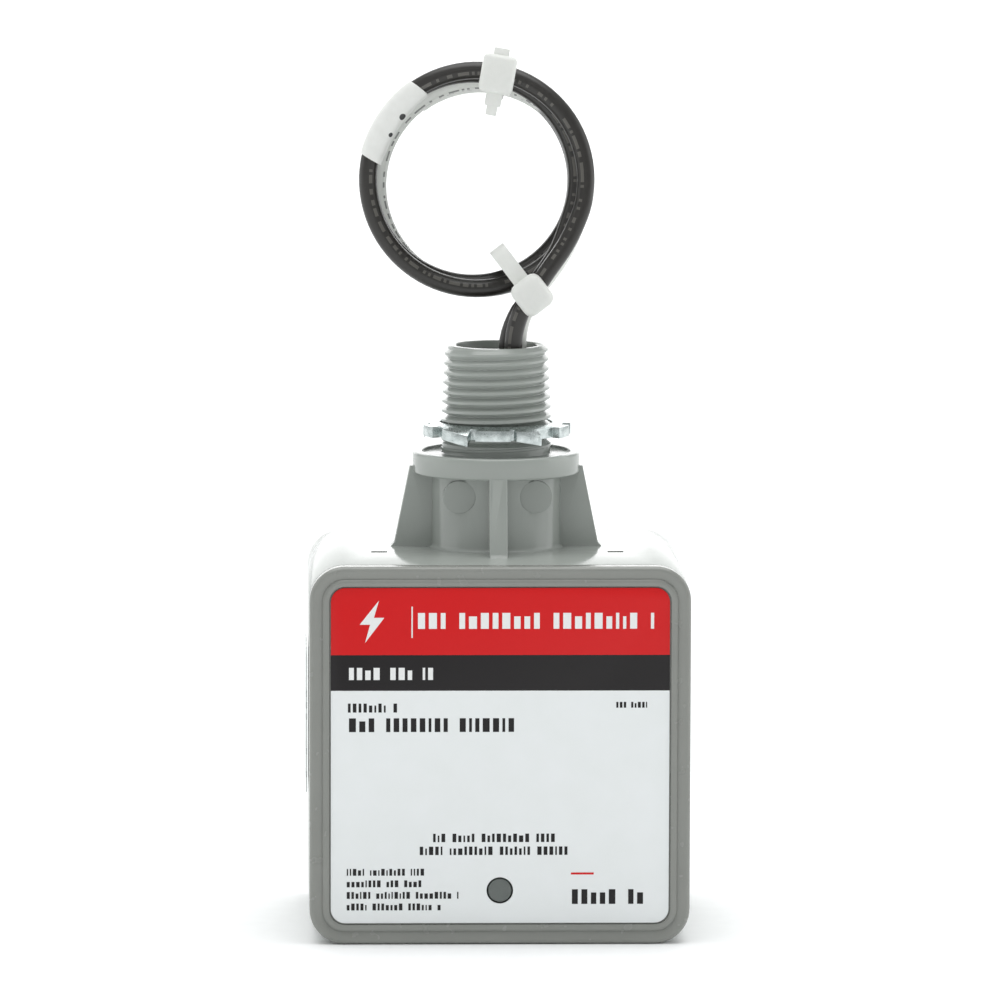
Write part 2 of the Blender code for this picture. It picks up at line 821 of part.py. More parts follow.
def build_ties():
    """The upper tie holds the coil's turns together; the lower one also takes the leads."""
    tie("upper_tie", 4.1 * MM, 19.8 * MM, math.radians(-100), 3.8 * MM, 4.1 * MM, 7.8 * MM, 7.4 * MM)
    tie("lower_tie", 10.6 * MM, -21.9 * MM, math.radians(127.5), 11.3 * MM, 4.2 * MM, 0.0, 6.5 * MM)


def build_marker():
    """The marker sleeve of one lead, as a plate over the front of the coil."""
    middle = (coil_inner_radius + coil_outer_radius) / 2 + 0.8 * MM
    steps = 8
    angles = [marker_start + (marker_end - marker_start) * i / steps for i in range(steps + 1)]
    outline = [((middle + marker_reach) * math.cos(a), -(middle + marker_reach) * math.sin(a)) for a in angles]
    angles.reverse()
    outline += [((middle - marker_reach) * math.cos(a), -(middle - marker_reach) * math.sin(a)) for a in angles]
    depth = coil_front - GAP - marker_thickness / 2
    place = coil_place() @ place_at(0.0, depth, 0.0) @ Matrix.Rotation(math.radians(-90), 4, "X")
    return give(plate("wire_marker", [outline], marker_thickness, place), label_film)


clear_scene()
parts = new_group("surge_protector")
cutters = new_group("cutters")

moulded_grey = finish_of("moulded_grey_plastic", (0.28, 0.30, 0.28), 0.35)
label_film = finish_of("printed_label_film", (0.66, 0.70, 0.68), 0.4)
zinc_steel = finish_of("zinc_plated_steel", (0.62, 0.63, 0.64), 0.3, 1.0)
board_green = finish_of("circuit_board_laminate", (0.03, 0.16, 0.07), 0.45)
varistor_coat = finish_of("blue_epoxy_coating", (0.02, 0.08, 0.30), 0.4)
fuse_body = finish_of("fuse_metal_case", (0.70, 0.66, 0.50), 0.3, 1.0)
resistor_body = finish_of("resistor_lacquer", (0.60, 0.50, 0.36), 0.5)
capacitor_body = finish_of("capacitor_case", (0.60, 0.45, 0.06), 0.45)
clear_acrylic = finish_of("clear_acrylic", (0.45, 0.48, 0.46), 0.1)
lamp_green = finish_of("lamp_epoxy", (0.05, 0.32, 0.12), 0.2)
brass = finish_of("tinned_brass", (0.70, 0.60, 0.35), 0.3, 1.0)
wire_black = finish_of("black_wire_insulation", (0.02, 0.02, 0.02), 0.35)
wire_white = finish_of("white_wire_insulation", (0.75, 0.75, 0.70), 0.4)
tie_nylon = finish_of("natural_nylon", (0.80, 0.82, 0.80), 0.35)

build_rear_case()
build_front_cover()
build_labels()
build_neck()
build_locknut()
build_board()
build_varistors()
build_small_parts()
build_status_light()
build_terminals()
build_inner_leads()
build_free_leads()
build_coil()
build_ties()
build_marker()
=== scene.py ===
"""The looks of a whole house surge protector, in the order in which it is put together.

A square grey case with a gusseted neck and a threaded nipple takes the circuit board, the status light, the
printed cover and a steel locknut. Its three leads leave the nipple and are wound into one tied coil.
"""

import math
import random

import bmesh
import bpy
from mathutils import Matrix, Vector


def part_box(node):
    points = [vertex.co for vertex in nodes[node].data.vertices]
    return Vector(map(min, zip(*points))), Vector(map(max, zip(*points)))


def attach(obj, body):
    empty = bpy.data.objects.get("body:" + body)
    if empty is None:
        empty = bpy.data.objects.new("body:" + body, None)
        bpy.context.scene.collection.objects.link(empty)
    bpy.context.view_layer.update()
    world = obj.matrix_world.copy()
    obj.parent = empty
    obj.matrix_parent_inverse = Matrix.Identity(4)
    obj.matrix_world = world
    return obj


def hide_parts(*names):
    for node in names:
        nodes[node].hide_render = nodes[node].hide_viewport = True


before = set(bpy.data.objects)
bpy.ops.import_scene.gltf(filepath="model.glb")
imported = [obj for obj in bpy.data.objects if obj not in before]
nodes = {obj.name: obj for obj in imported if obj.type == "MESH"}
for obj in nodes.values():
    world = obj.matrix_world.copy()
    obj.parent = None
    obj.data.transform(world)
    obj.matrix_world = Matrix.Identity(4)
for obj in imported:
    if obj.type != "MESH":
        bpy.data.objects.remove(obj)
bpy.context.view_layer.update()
bpy.context.scene.view_settings.view_transform = "Standard"
bpy.ops.object.select_all(action="DESELECT")

# ---- Rear case ---------------------------------------------------------------------------------------------
# One injection moulding of grey ABS, open at the front. Its outer edges are rounded in the tool, four posts
# inside take the board's screws, and four slots in its top and bottom walls take the cover's snap teeth.

MM = 0.001
TINY = 0.000002  # how near two places have to be to count as one
case_wall = 2.4 * MM
case_corner = 6.6 * MM
case_back_edge = 2.0 * MM
lip_edge = 0.25 * MM
post_radius = 3.2 * MM
post_gap = 0.3 * MM
pilot_radius = 1.7 * MM
pilot_depth = 5.0 * MM
slot_width = 3.0 * MM
slot_length = 2.0 * MM
slot_x = 22.4 * MM
slot_setback = 19.1 * MM
bore_radius = 7.7 * MM
pin_mark_radius = 2.5 * MM
pin_mark_depth = 0.2 * MM
pin_mark_inset = 13.0 * MM

case_low, case_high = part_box("rear_case")
case_size = case_high - case_low
case_middle = (case_low + case_high) / 2
board_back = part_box("circuit_board")[1].y
neck_low, neck_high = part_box("neck")
neck_axis = Vector((0.0, (neck_low.y + neck_high.y) / 2, 0.0))


def begin(name):
    """Names the primitive that was just added, and puts its size, turn and place into its mesh."""
    piece = bpy.context.object
    piece.name = piece.data.name = name
    bpy.ops.object.transform_apply(location=True, rotation=True, scale=True)
    return piece


def choose(piece):
    """Leaves one piece selected and active."""
    bpy.ops.object.select_all(action="DESELECT")
    bpy.context.view_layer.objects.active = piece
    piece.select_set(True)


def open_mesh():
    """Enters edit mode with the whole mesh selected."""
    bpy.ops.object.mode_set(mode="EDIT")
    bpy.ops.mesh.select_all(action="SELECT")


def close_mesh(face_outwards=False):
    """Leaves edit mode, with every face turned outwards first where that is asked for."""
    if face_outwards:
        bpy.ops.mesh.select_all(action="SELECT")
        bpy.ops.mesh.normals_make_consistent(inside=False)
    bpy.ops.object.mode_set(mode="OBJECT")


def pick(kind, test):
    """In edit mode, selects only the faces, edges or points that pass a test."""
    bpy.ops.mesh.select_mode(type=kind)
    bpy.ops.mesh.select_all(action="DESELECT")
    mesh = bpy.context.object.data
    shape = bmesh.from_edit_mesh(mesh)
    for element in {"FACE": shape.faces, "EDGE": shape.edges, "VERT": shape.verts}[kind]:
        if test(element):
            element.select_set(True)
    bmesh.update_edit_mesh(mesh)


def points_of(element):
    return [element.co] if isinstance(element, bmesh.types.BMVert) else [v.co for v in element.verts]


def lies_at(axis, value):
    """A test for what lies in one plane across an axis."""
    return lambda element: all(abs(p["XYZ".index(axis)] - value) < TINY for p in points_of(element))


def rim_at(axis, value):
    """A test for the sharp edges in one plane across an axis."""
    flat = lies_at(axis, value)
    return lambda edge: flat(edge) and len(edge.link_faces) == 2 and edge.calc_face_angle() > 0.7


def runs_along(axis, length):
    """A test for the long edges along an axis."""
    i = "XYZ".index(axis)
    return lambda edge: abs(edge.verts[0].co[i] - edge.verts[1].co[i]) > length * 0.9


def round_edges(test, size, segments):
    pick("EDGE", test)
    bpy.ops.mesh.bevel(offset=size, segments=segments, affect="EDGES")


def draw_out(x, y, z):
    """Extrudes the selected faces by a distance along each axis."""
    bpy.ops.mesh.extrude_region_move(TRANSFORM_OT_translate={"value": (x, y, z)})


def combine(piece, tool, operation="DIFFERENCE"):
    """Cuts a tool from a piece, or joins the two, and clears the tool away."""
    boolean = piece.modifiers.new("combine", "BOOLEAN")
    boolean.operation = operation
    boolean.object = tool
    apply_all(piece)
    bpy.data.objects.remove(tool, do_unlink=True)


def apply_all(piece):
    choose(piece)
    for modifier in list(piece.modifiers):
        bpy.ops.object.modifier_apply(modifier=modifier.name)


def soften(piece, width, segments=2, angle=40.0):
    """Rounds the sharp edges of a piece a little, as its tool or its finish leaves them."""
    bevel = piece.modifiers.new("soften", "BEVEL")
    bevel.width = width
    bevel.segments = segments
    bevel.limit_method = "ANGLE"
    bevel.angle_limit = math.radians(angle)
    apply_all(piece)


def smooth(piece, angle=32.0):
    choose(piece)
    bpy.ops.object.shade_smooth_by_angle(angle=math.radians(angle))


def rod(name, radius, start, end, sides=32):
    """A round bar between two points."""
    start, end = Vector(start), Vector(end)
    turn = (end - start).to_track_quat("Z", "Y").to_euler()
    bpy.ops.mesh.primitive_cylinder_add(
        vertices=sides, radius=radius, depth=(end - start).length, location=(start + end) / 2, rotation=turn
    )
    return begin(name)


def block(name, low, high):
    """A square-edged bar between two corners."""
    low, high = Vector(low), Vector(high)
    bpy.ops.mesh.primitive_cube_add(size=1, location=(low + high) / 2, scale=high - low)
    return begin(name)


case = block("case_moulding", case_low, case_high)
open_mesh()
round_edges(runs_along("Y", case_size.y), case_corner, 12)
pick("FACE", lies_at("Y", case_low.y))
bpy.ops.mesh.inset(thickness=case_wall)
draw_out(0, case_size.y - case_wall, 0)
round_edges(rim_at("Y", case_high.y), case_back_edge, 6)
round_edges(rim_at("Y", case_low.y), lip_edge, 2)
close_mesh()

post_front = board_back + post_gap
for screw_number in range(1, 5):
    screw_low, screw_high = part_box(f"board_screw_{screw_number}")
    post_x, post_z = (screw_low.x + screw_high.x) / 2, (screw_low.z + screw_high.z) / 2
    post_end = (post_x, case_high.y - case_wall / 2, post_z)
    combine(case, rod("post", post_radius, (post_x, post_front, post_z), post_end), "UNION")
    pilot_end = (post_x, post_front + pilot_depth, post_z)
    combine(case, rod("pilot", pilot_radius, (post_x, post_front - MM, post_z), pilot_end))
for side_x in (-1, 1):
    for side_z in (-1, 1):
        slot_z = case_middle.z + side_z * case_size.z / 2
        slot_middle = Vector((side_x * slot_x, case_low.y + slot_setback, slot_z))
        slot_half = Vector((slot_width / 2, slot_length / 2, case_wall * 1.5))
        combine(case, block("snap_slot", slot_middle - slot_half, slot_middle + slot_half))
        mark = Vector((side_x, 0, side_z)) * (case_size.x / 2 - pin_mark_inset)
        mark.z += case_middle.z
        mark_start = mark + Vector((0, case_high.y - pin_mark_depth, 0))
        mark_end = mark + Vector((0, case_high.y + MM, 0))
        combine(case, rod("pin_mark", pin_mark_radius, mark_start, mark_end, 40))
passage_start = neck_axis + Vector((0, 0, case_high.z - 2 * case_wall))
passage_end = neck_axis + Vector((0, 0, case_high.z + MM))
combine(case, rod("wire_passage", bore_radius, passage_start, passage_end, 64))
smooth(case)


def linear(hex_colour):
    """An sRGB hex colour as linear red, green, blue and alpha."""
    shares = [int(hex_colour[i : i + 2], 16) / 255 for i in (1, 3, 5)]
    return (*[s / 12.92 if s <= 0.04045 else ((s + 0.055) / 1.055) ** 2.4 for s in shares], 1.0)


def fill(material, node, inputs):
    """Fills a node's inputs with values or with other nodes' outputs."""
    for name, value in inputs.items():
        if isinstance(value, bpy.types.NodeSocket):
            material.node_tree.links.new(value, node.inputs[name])
        else:
            node.inputs[name].default_value = value


def add_node(material, kind, inputs=None, **settings):
    node = material.node_tree.nodes.new("ShaderNode" + kind)
    for name, value in settings.items():
        setattr(node, name, value)
    fill(material, node, inputs or {})
    return node


def start_material(name):
    material = bpy.data.materials.new(name)
    material.use_nodes = True
    return material


def place_on(material, scale):
    """Places on the object, with one pattern step for each length given, in metres."""
    place = add_node(material, "TexCoord").outputs["Object"]
    stretch = tuple(1 / length for length in scale)
    return add_node(material, "Mapping", {"Vector": place, "Scale": stretch}).outputs["Vector"]


def blend(material, share, first, second):
    """A colour between two hex colours, by a share from 0 to 1."""
    mix = add_node(material, "Mix", {0: share, 6: linear(first), 7: linear(second)}, data_type="RGBA")
    return mix.outputs[2]


def spread(material, value, low, high, to_low, to_high):
    """A value's range from low to high, as a range from to_low to to_high."""
    limits = {"Value": value, "From Min": low, "From Max": high, "To Min": to_low, "To Max": to_high}
    return add_node(material, "MapRange", limits).outputs["Result"]


def grain(material, step, detail=2.0):
    """Even noise with features of one size, from 0 to 1."""
    inputs = {"Vector": place_on(material, (step,) * 3), "Scale": 1.0, "Detail": detail}
    return add_node(material, "TexNoise", inputs).outputs["Fac"]


def finish(material, colour, roughness, bump=None, bump_depth=0.0, **sockets):
    """Sets the shader's colour, roughness and constant sockets, and a pattern's bump of a given depth."""
    inputs = {"Base Color": colour, "Roughness": roughness}
    inputs.update({name.replace("_", " "): value for name, value in sockets.items()})
    if bump is not None:
        bumps = add_node(material, "Bump", {"Height": bump, "Distance": bump_depth})
        inputs["Normal"] = bumps.outputs["Normal"]
    fill(material, material.node_tree.nodes["Principled BSDF"], inputs)


def give(piece, material):
    """Makes this the piece's only material."""
    piece.data.materials.clear()
    piece.data.materials.append(material)


def fit(piece, slot, *replaced, body="housing"):
    """Fixes a piece to its body and hides the CAD nodes that it stands for; the slot is not used."""
    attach(piece, body)
    if replaced:
        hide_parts(*replaced)


# ABS moulded in a lightly polished tool: a mid grey that is a little green, with a satin gloss, faint flow
# clouds some millimetres wide and an orange peel half a millimetre wide that only breaks up the highlights.
def make_abs(name, dark, light, polish, dull):
    plastic = start_material(name)
    colour = blend(plastic, grain(plastic, 9 * MM, 3.0), dark, light)
    roughness = spread(plastic, grain(plastic, 2.5 * MM), 0.3, 0.7, polish, dull)
    finish(plastic, colour, roughness, grain(plastic, 0.5 * MM, 1.0), 0.004 * MM, IOR=1.53)
    return plastic


moulded_abs = make_abs("moulded_grey_abs", "#979c97", "#9fa49f", 0.14, 0.22)
give(case, moulded_abs)
fit(case, "moulded_grey_plastic", "rear_case")

# ---- Circuit board and its parts ---------------------------------------------------------------------------
# A glass-epoxy board under green solder mask, screwed to the posts. It carries six dipped varistors, three
# thermal fuses, two resistors and a film capacitor, all soldered by their legs, and the brass lead cups.


def dress(names, material):
    """Gives CAD nodes that are shown as they are their finish."""
    for name in names:
        give(nodes[name], material)


def series(name, count):
    return [f"{name}_{number}" for number in range(1, count + 1)]


def mottled(name, step, detail, dark, light, roughness, depth, **sockets):
    """A material with one noise in its colour and bump, and in its roughness where that is a range."""
    material = start_material(name)
    cloud = grain(material, step, detail)
    if isinstance(roughness, tuple):
        roughness = spread(material, cloud, 0.3, 0.7, *roughness)
    finish(material, blend(material, cloud, dark, light), roughness, cloud, depth, **sockets)
    return material


# Solder mask over copper: glossy green that is lighter where tracks about 2 mm apart run under it.
solder_mask = start_material("solder_mask_on_glass_epoxy")
track_place = place_on(solder_mask, (2 * MM,) * 3)
track_cells = add_node(solder_mask, "TexVoronoi", {"Vector": track_place}, distance="MANHATTAN")
tracks = spread(solder_mask, track_cells.outputs["Distance"], 0.45, 0.5, 0.0, 1.0)
finish(solder_mask, blend(solder_mask, tracks, "#1c5a33", "#2f7a48"), 0.3, tracks, 0.03 * MM, IOR=1.5)
dress(["circuit_board"], solder_mask)

# Dipped epoxy: thick, glossy and blue, with the soft runs of a coat that was dipped and baked.
dipped_epoxy = mottled("dipped_blue_epoxy", 3 * MM, 2.0, "#1b3f8a", "#2851a3", 0.28, 0.08 * MM, IOR=1.55)
dress(series("varistor", 6), dipped_epoxy)

# Tinned metal cases, drawn round: fine rings of drawing marks along the barrel, 0.3 mm apart.
tinned_case = start_material("tinned_drawn_case")
ring_place = place_on(tinned_case, (0.3 * MM, 3 * MM, 3 * MM))
drawn_rings = add_node(tinned_case, "TexNoise", {"Vector": ring_place, "Scale": 1.0}).outputs["Fac"]
tinned_colour = blend(tinned_case, drawn_rings, "#b9ad8c", "#d6cdb2")
finish(tinned_case, tinned_colour, 0.3, drawn_rings, 0.01 * MM, Metallic=1.0)
dress(series("thermal_fuse", 3), tinned_case)

# Resistor lacquer: tan, with soft darker bands across the barrel.
lacquer = start_material("baked_resistor_lacquer")
band_place = place_on(lacquer, (1.6 * MM,) * 3)
bands = add_node(lacquer, "TexWave", {"Vector": band_place, "Scale": 0.4, "Distortion": 0.4})
banding = spread(lacquer, bands.outputs["Fac"], 0.75, 0.85, 0.0, 1.0)
lacquer_colour = blend(lacquer, banding, "#cdb28a", "#7d3f22")
finish(lacquer, lacquer_colour, 0.38, grain(lacquer, 0.6 * MM), 0.02 * MM, IOR=1.5)
dress(series("resistor", 2), lacquer)

# The capacitor's moulded box: a warm yellow polyester with a matt face.
film_case = start_material("moulded_polyester_case")
film_case_colour = blend(film_case, grain(film_case, 2 * MM), "#c49a2e", "#d1a83c")
finish(film_case, film_case_colour, 0.42, grain(film_case, 0.3 * MM), 0.01 * MM)
dress(["film_capacitor"], film_case)

# Zinc plate on steel: bright and slightly blue, with a fine crystal mottle and wiped streaks that spread its
# highlights, and a darker tone where the passivation lies thicker.
zinc_plate = start_material("bright_zinc_plated_steel")
crystal_place = place_on(zinc_plate, (0.16 * MM,) * 3)
crystals = add_node(zinc_plate, "TexVoronoi", {"Vector": crystal_place}).outputs["Distance"]
zinc_clouds = grain(zinc_plate, 1.4 * MM, 4.0)
finish(
    zinc_plate,
    blend(zinc_plate, spread(zinc_plate, zinc_clouds, 0.35, 0.65, 0.0, 1.0), "#aab2b1", "#ccd3d2"),
    spread(zinc_plate, zinc_clouds, 0.3, 0.7, 0.3, 0.2),
    crystals,
    0.006 * MM,
    Metallic=1.0,
)
dress(series("board_screw", 4), zinc_plate)

# Tinned brass cups, stamped: pale yellow with the tin wiped thin in patches.
tinned_brass = mottled(
    "tinned_stamped_brass", 1.2 * MM, 3.0, "#b99f5e", "#d9d2bd", 0.27, 0.01 * MM, Metallic=1.0
)
dress(series("lead_terminal", 3), tinned_brass)

# The lamp's cast green epoxy, with the flow lines of the pour.
cast_epoxy = mottled("cast_green_epoxy", 0.8 * MM, 2.0, "#2c7d4c", "#3f9a60", 0.12, 0.01 * MM, IOR=1.53)
dress(["status_led"], cast_epoxy)

# ---- Neck, flange and threaded nipple ----------------------------------------------------------------------
# Moulded in one with the case: a round neck on four gussets, a flange whose raised rim seats against the
# panel, and a half-inch nipple with a right-hand thread of 14 to the inch. Two ejector pins marked the neck.

foot_fillet = 0.9 * MM
neck_radius = 12.35 * MM
flange_radius = 15.9 * MM
flange_thickness = 4.15 * MM
flange_edge = 0.5 * MM
rim_width = 1.8 * MM
rim_edge = 0.2 * MM
seat_depth = 0.5 * MM
nipple_length = 20.2 * MM
thread_pitch = 25.4 * MM / 14
thread_depth = 1.2 * MM
crest_radius = 10.45 * MM
tip_crest_radius = 9.8 * MM
crest_flat = 0.42 * MM
thread_foot = 1.8 * MM
thread_lap = 0.05 * MM
thread_start = 87.47 * MM
thread_turns = 12
chamfer_width = 0.25 * MM
thread_chamfer = 0.05 * MM
shank_radius = 10.3 * MM
shank_top = 91.3 * MM
gusset_width = 3.4 * MM
gusset_edge = 0.25 * MM
gusset_foot_radius = 19.6 * MM
gusset_top_radius = 16.45 * MM
gusset_lap = 1.4 * MM
gusset_set_in = 0.9 * MM
gusset_sink = 0.03 * MM
flare_height = 0.8 * MM
flare_reach = 0.6 * MM
pin_x = 7.3 * MM
pin_z = 82.0 * MM
pin_radius = 3.1 * MM
pin_face = 10.9 * MM
pin_step = 0.04 * MM
underside_fillet = 0.3 * MM
seat_fillet = 0.4 * MM
mouth_edge = 0.25 * MM
ridge_stop = 0.05 * MM
taper_length = 7 * thread_pitch
chamfer_slope = 1.1

neck_foot, nipple_top = case_high.z - 0.05 * MM, neck_high.z
flange_top = nipple_top - nipple_length
flange_bottom = flange_top - flange_thickness
seat_z = flange_top - seat_depth
rim_inner = flange_radius - rim_width
root_radius = crest_radius - thread_depth


def turn_rings(name, rings, axis, sides):
    """Starts from a circle and extrudes it from ring to ring, each a (radius, height)."""
    (radius, height), *others = rings
    start = axis + Vector((0, 0, height))
    bpy.ops.mesh.primitive_circle_add(vertices=sides, radius=radius, location=start)
    piece = begin(name)
    open_mesh()
    for new_radius, new_height in others:
        bpy.ops.mesh.extrude_edges_move(TRANSFORM_OT_translate={"value": (0, 0, new_height - height)})
        share = new_radius / radius
        centre = axis + Vector((0, 0, new_height))
        bpy.ops.transform.resize(value=(share, share, 1), center_override=centre)
        radius, height = new_radius, new_height
    bpy.ops.mesh.select_all(action="SELECT")
    bpy.ops.mesh.remove_doubles(threshold=TINY)
    close_mesh(face_outwards=True)
    return piece


def arc(radius, height, size, start, end, steps=5):
    """Ring sizes along a rounded corner, from one angle to another in degrees, 0 outwards and 90 upwards."""
    angles = [math.radians(start + (end - start) * step / steps) for step in range(steps + 1)]
    return [(radius + size * math.cos(a), height + size * math.sin(a)) for a in angles]


neck_rings = [
    *arc(neck_radius + foot_fillet, neck_foot + foot_fillet, foot_fillet, 270, 180),
    *arc(neck_radius + underside_fillet, flange_bottom - underside_fillet, underside_fillet, 180, 90, 3),
    *arc(flange_radius - flange_edge, flange_bottom + flange_edge, flange_edge, 270, 360),
    *arc(flange_radius - flange_edge, flange_top - flange_edge, flange_edge, 0, 90),
    *arc(rim_inner + rim_edge, flange_top - rim_edge, rim_edge, 90, 180, 3),
    (rim_inner, seat_z),
    *arc(shank_radius + seat_fillet, seat_z + seat_fillet, seat_fillet, 270, 180, 3),
    (shank_radius, shank_top),
    (root_radius, shank_top + shank_radius - root_radius),
    (root_radius, nipple_top - chamfer_width),
    (root_radius - chamfer_width, nipple_top),
    *arc(bore_radius + mouth_edge, nipple_top - mouth_edge, mouth_edge, 90, 180, 3),
    (bore_radius, neck_foot),
    (neck_radius + foot_fillet, neck_foot),
]
neck = turn_rings("neck_moulding", neck_rings, neck_axis, 128)


def runs_up_outside(edge):
    """A test for the gusset's outer edges that aren't level."""
    outside = all(v.co.x > gusset_top_radius - TINY for v in edge.verts)
    return outside and abs(edge.verts[0].co.z - edge.verts[1].co.z) > TINY


gusset_low = (neck_radius - case_wall, neck_axis.y - gusset_width / 2, neck_foot - gusset_sink)
gusset_high = (gusset_foot_radius, neck_axis.y + gusset_width / 2, flange_bottom + gusset_lap)
gusset = block("gusset", gusset_low, gusset_high)
open_mesh()
pick("VERT", lambda v: v.co.x > gusset_top_radius and v.co.z > flange_bottom)
bpy.ops.transform.translate(value=(gusset_top_radius - gusset_foot_radius, 0, 0))
bpy.ops.mesh.select_all(action="SELECT")
bpy.ops.mesh.bisect(plane_co=(0, 0, neck_foot + flare_height), plane_no=(0, 0, 1))
pick("VERT", lambda v: v.co.x > gusset_top_radius and v.co.z < neck_foot + TINY)
bpy.ops.transform.translate(value=(flare_reach, 0, 0))
round_edges(runs_up_outside, gusset_edge, 3)
close_mesh()
for quarter in range(4):
    rib = gusset.copy()
    rib.data = gusset.data.copy()
    if quarter % 2:
        for point in rib.data.vertices:
            if point.co.z > flange_bottom and point.co.x > neck_radius:
                point.co.x -= gusset_set_in
    bpy.context.scene.collection.objects.link(rib)
    turn = Matrix.Translation(neck_axis) @ Matrix.Rotation(quarter * math.tau / 4, 4, "Z")
    rib.data.transform(turn @ Matrix.Translation(-neck_axis))
    combine(neck, rib, "UNION")
bpy.data.objects.remove(gusset)

for side in (-1, 1):
    pin_start = Vector((side * pin_x, neck_axis.y - pin_face, pin_z))
    combine(neck, rod("pin_pocket", pin_radius, pin_start, pin_start - Vector((0, 3 * MM, 0)), 48))
    boss_start = pin_start - Vector((0, pin_step, 0))
    boss_end = Vector((pin_start.x, neck_axis.y - bore_radius - MM, pin_z))
    combine(neck, rod("pin_boss", pin_radius - pin_step, boss_start, boss_end, 48), "UNION")

# The thread is one ridge of its own, wound up the nipple and narrowed to the nipple's taper and end chamfer.
bpy.ops.mesh.primitive_plane_add(size=1, location=neck_axis, rotation=(math.pi / 2, 0, 0))
ridge = bpy.context.object
ridge.name = "thread_ridge"
bpy.ops.object.transform_apply(location=False, rotation=True, scale=True)
open_mesh()
ridge_width = thread_depth + thread_lap
bpy.ops.transform.resize(value=(ridge_width, 1, thread_foot), center_override=neck_axis)
bpy.ops.transform.translate(value=(crest_radius - ridge_width / 2, 0, thread_start))
pick("VERT", lambda v: v.co.x > root_radius + TINY)
crest_middle = neck_axis + Vector((crest_radius, 0, thread_start))
bpy.ops.transform.resize(value=(1, 1, crest_flat / thread_foot), center_override=crest_middle)
bpy.ops.mesh.select_all(action="SELECT")
bpy.ops.mesh.delete(type="ONLY_FACE")
close_mesh()
wind = ridge.modifiers.new("wind", "SCREW")
wind.steps = wind.render_steps = 96
wind.iterations = thread_turns
wind.screw_offset = thread_pitch
apply_all(ridge)
bpy.ops.object.transform_apply(location=True, rotation=True, scale=True)
open_mesh()
bpy.ops.mesh.fill_holes(sides=4)
close_mesh(face_outwards=True)
for point in ridge.data.vertices:
    point.co.z = min(point.co.z, nipple_top - ridge_stop)
    out = Vector((point.co.x, point.co.y - neck_axis.y, 0))
    drop = nipple_top - point.co.z
    taper = (crest_radius - tip_crest_radius) * (1 - min(drop / taper_length, 1))
    limit = min(crest_radius - taper, root_radius + thread_chamfer + chamfer_slope * drop)
    if out.length > limit:
        point.co.x *= limit / out.length
        point.co.y = neck_axis.y + out.y * limit / out.length
combine(neck, ridge, "UNION")
smooth(neck)
give(neck, moulded_abs)
fit(neck, "moulded_grey_plastic", "neck")

# ---- Locknut -----------------------------------------------------------------------------------------------
# Stamped from thick steel sheet and zinc plated. Its ring is dished a little, and every other one of its ten
# lugs is bent down at one end, so that it bites the panel's paint when it is driven round.

nut_sides = 180
nut_sheet = 2.1 * MM
nut_top = 95.4 * MM
nut_rings = [
    (10.75 * MM, nut_top - 0.25 * MM),
    (10.95 * MM, nut_top),
    (11.45 * MM, nut_top),
    (12.1 * MM, nut_top - 0.28 * MM),
    (12.65 * MM, nut_top - 0.44 * MM),
    (14.2 * MM, nut_top - 0.46 * MM),
]
nut_edge = 0.15 * MM
lug_drop = 1.1 * MM
straight_lugs = ((342, 370), (56, 76), (130, 154), (198, 222), (280, 300))
bent_lugs = ((14, 36), (92, 118), (160, 182), (232, 256), (312, 336))


def bearing(point):
    """Degrees round the neck's axis, from the front and rising to the right."""
    return math.degrees(math.atan2(point.x, neck_axis.y - point.y)) % 360


def spans(lugs, angle):
    """The lugs that reach over a bearing."""
    turns = (angle, angle + 360)
    return [(start, end) for start, end in lugs for a in turns if start - 0.01 <= a <= end + 0.01]


def past_ring(point):
    return (Vector((point.x, point.y, 0)) - neck_axis).length > nut_rings[-2][0] + TINY


def between_lugs(face):
    """A test for the faces past the ring that belong to no lug."""
    middle = face.calc_center_median()
    return past_ring(middle) and not spans(straight_lugs + bent_lugs, bearing(middle))


nut = turn_rings("nut_stamping", nut_rings, neck_axis, nut_sides)
open_mesh()
pick("FACE", between_lugs)
bpy.ops.mesh.delete(type="FACE")
close_mesh()
for point in nut.data.vertices:
    for start, end in spans(bent_lugs, bearing(point.co)):
        if past_ring(point.co):
            point.co.z -= lug_drop * (bearing(point.co) - start) / (end - start)
open_mesh()
draw_out(0, 0, -nut_sheet)
close_mesh(face_outwards=True)
soften(nut, nut_edge, 2)
smooth(nut, 30)
give(nut, zinc_plate)
fit(nut, "zinc_plated_steel", "locknut", body="locknut")

# ---- Light pipe --------------------------------------------------------------------------------------------
# A clear acrylic rod, moulded, that carries the green lamp's light from the board to the front. A collar
# behind the cover stops it from being pushed out.

lens_radius = 2.2 * MM
lens_edge = 0.25 * MM
collar_radius = 3.1 * MM
collar_thickness = 1.0 * MM
collar_y = -26.1 * MM
pipe_low, pipe_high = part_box("light_pipe")
pipe_z = (pipe_low.z + pipe_high.z) / 2

lens = rod("status_lens", lens_radius, (0, pipe_low.y, pipe_z), (0, pipe_high.y, pipe_z), 48)
open_mesh()
round_edges(rim_at("Y", pipe_low.y), lens_edge, 3)
close_mesh()
collar_start, collar_end = (0, collar_y, pipe_z), (0, collar_y + collar_thickness, pipe_z)
combine(lens, rod("collar", collar_radius, collar_start, collar_end, 48), "UNION")
smooth(lens)

# Acrylic with a fine matt front, which blurs what lies behind it, so the unlit window shows as plain grey.
acrylic = mottled(
    "clear_acrylic",
    0.7 * MM,
    2.0,
    "#7b827f",
    "#858c88",
    (0.3, 0.42),
    0.01 * MM,
    IOR=1.49,
    Transmission_Weight=0.45,
)
give(lens, acrylic)
fit(lens, "clear_acrylic", "light_pipe")
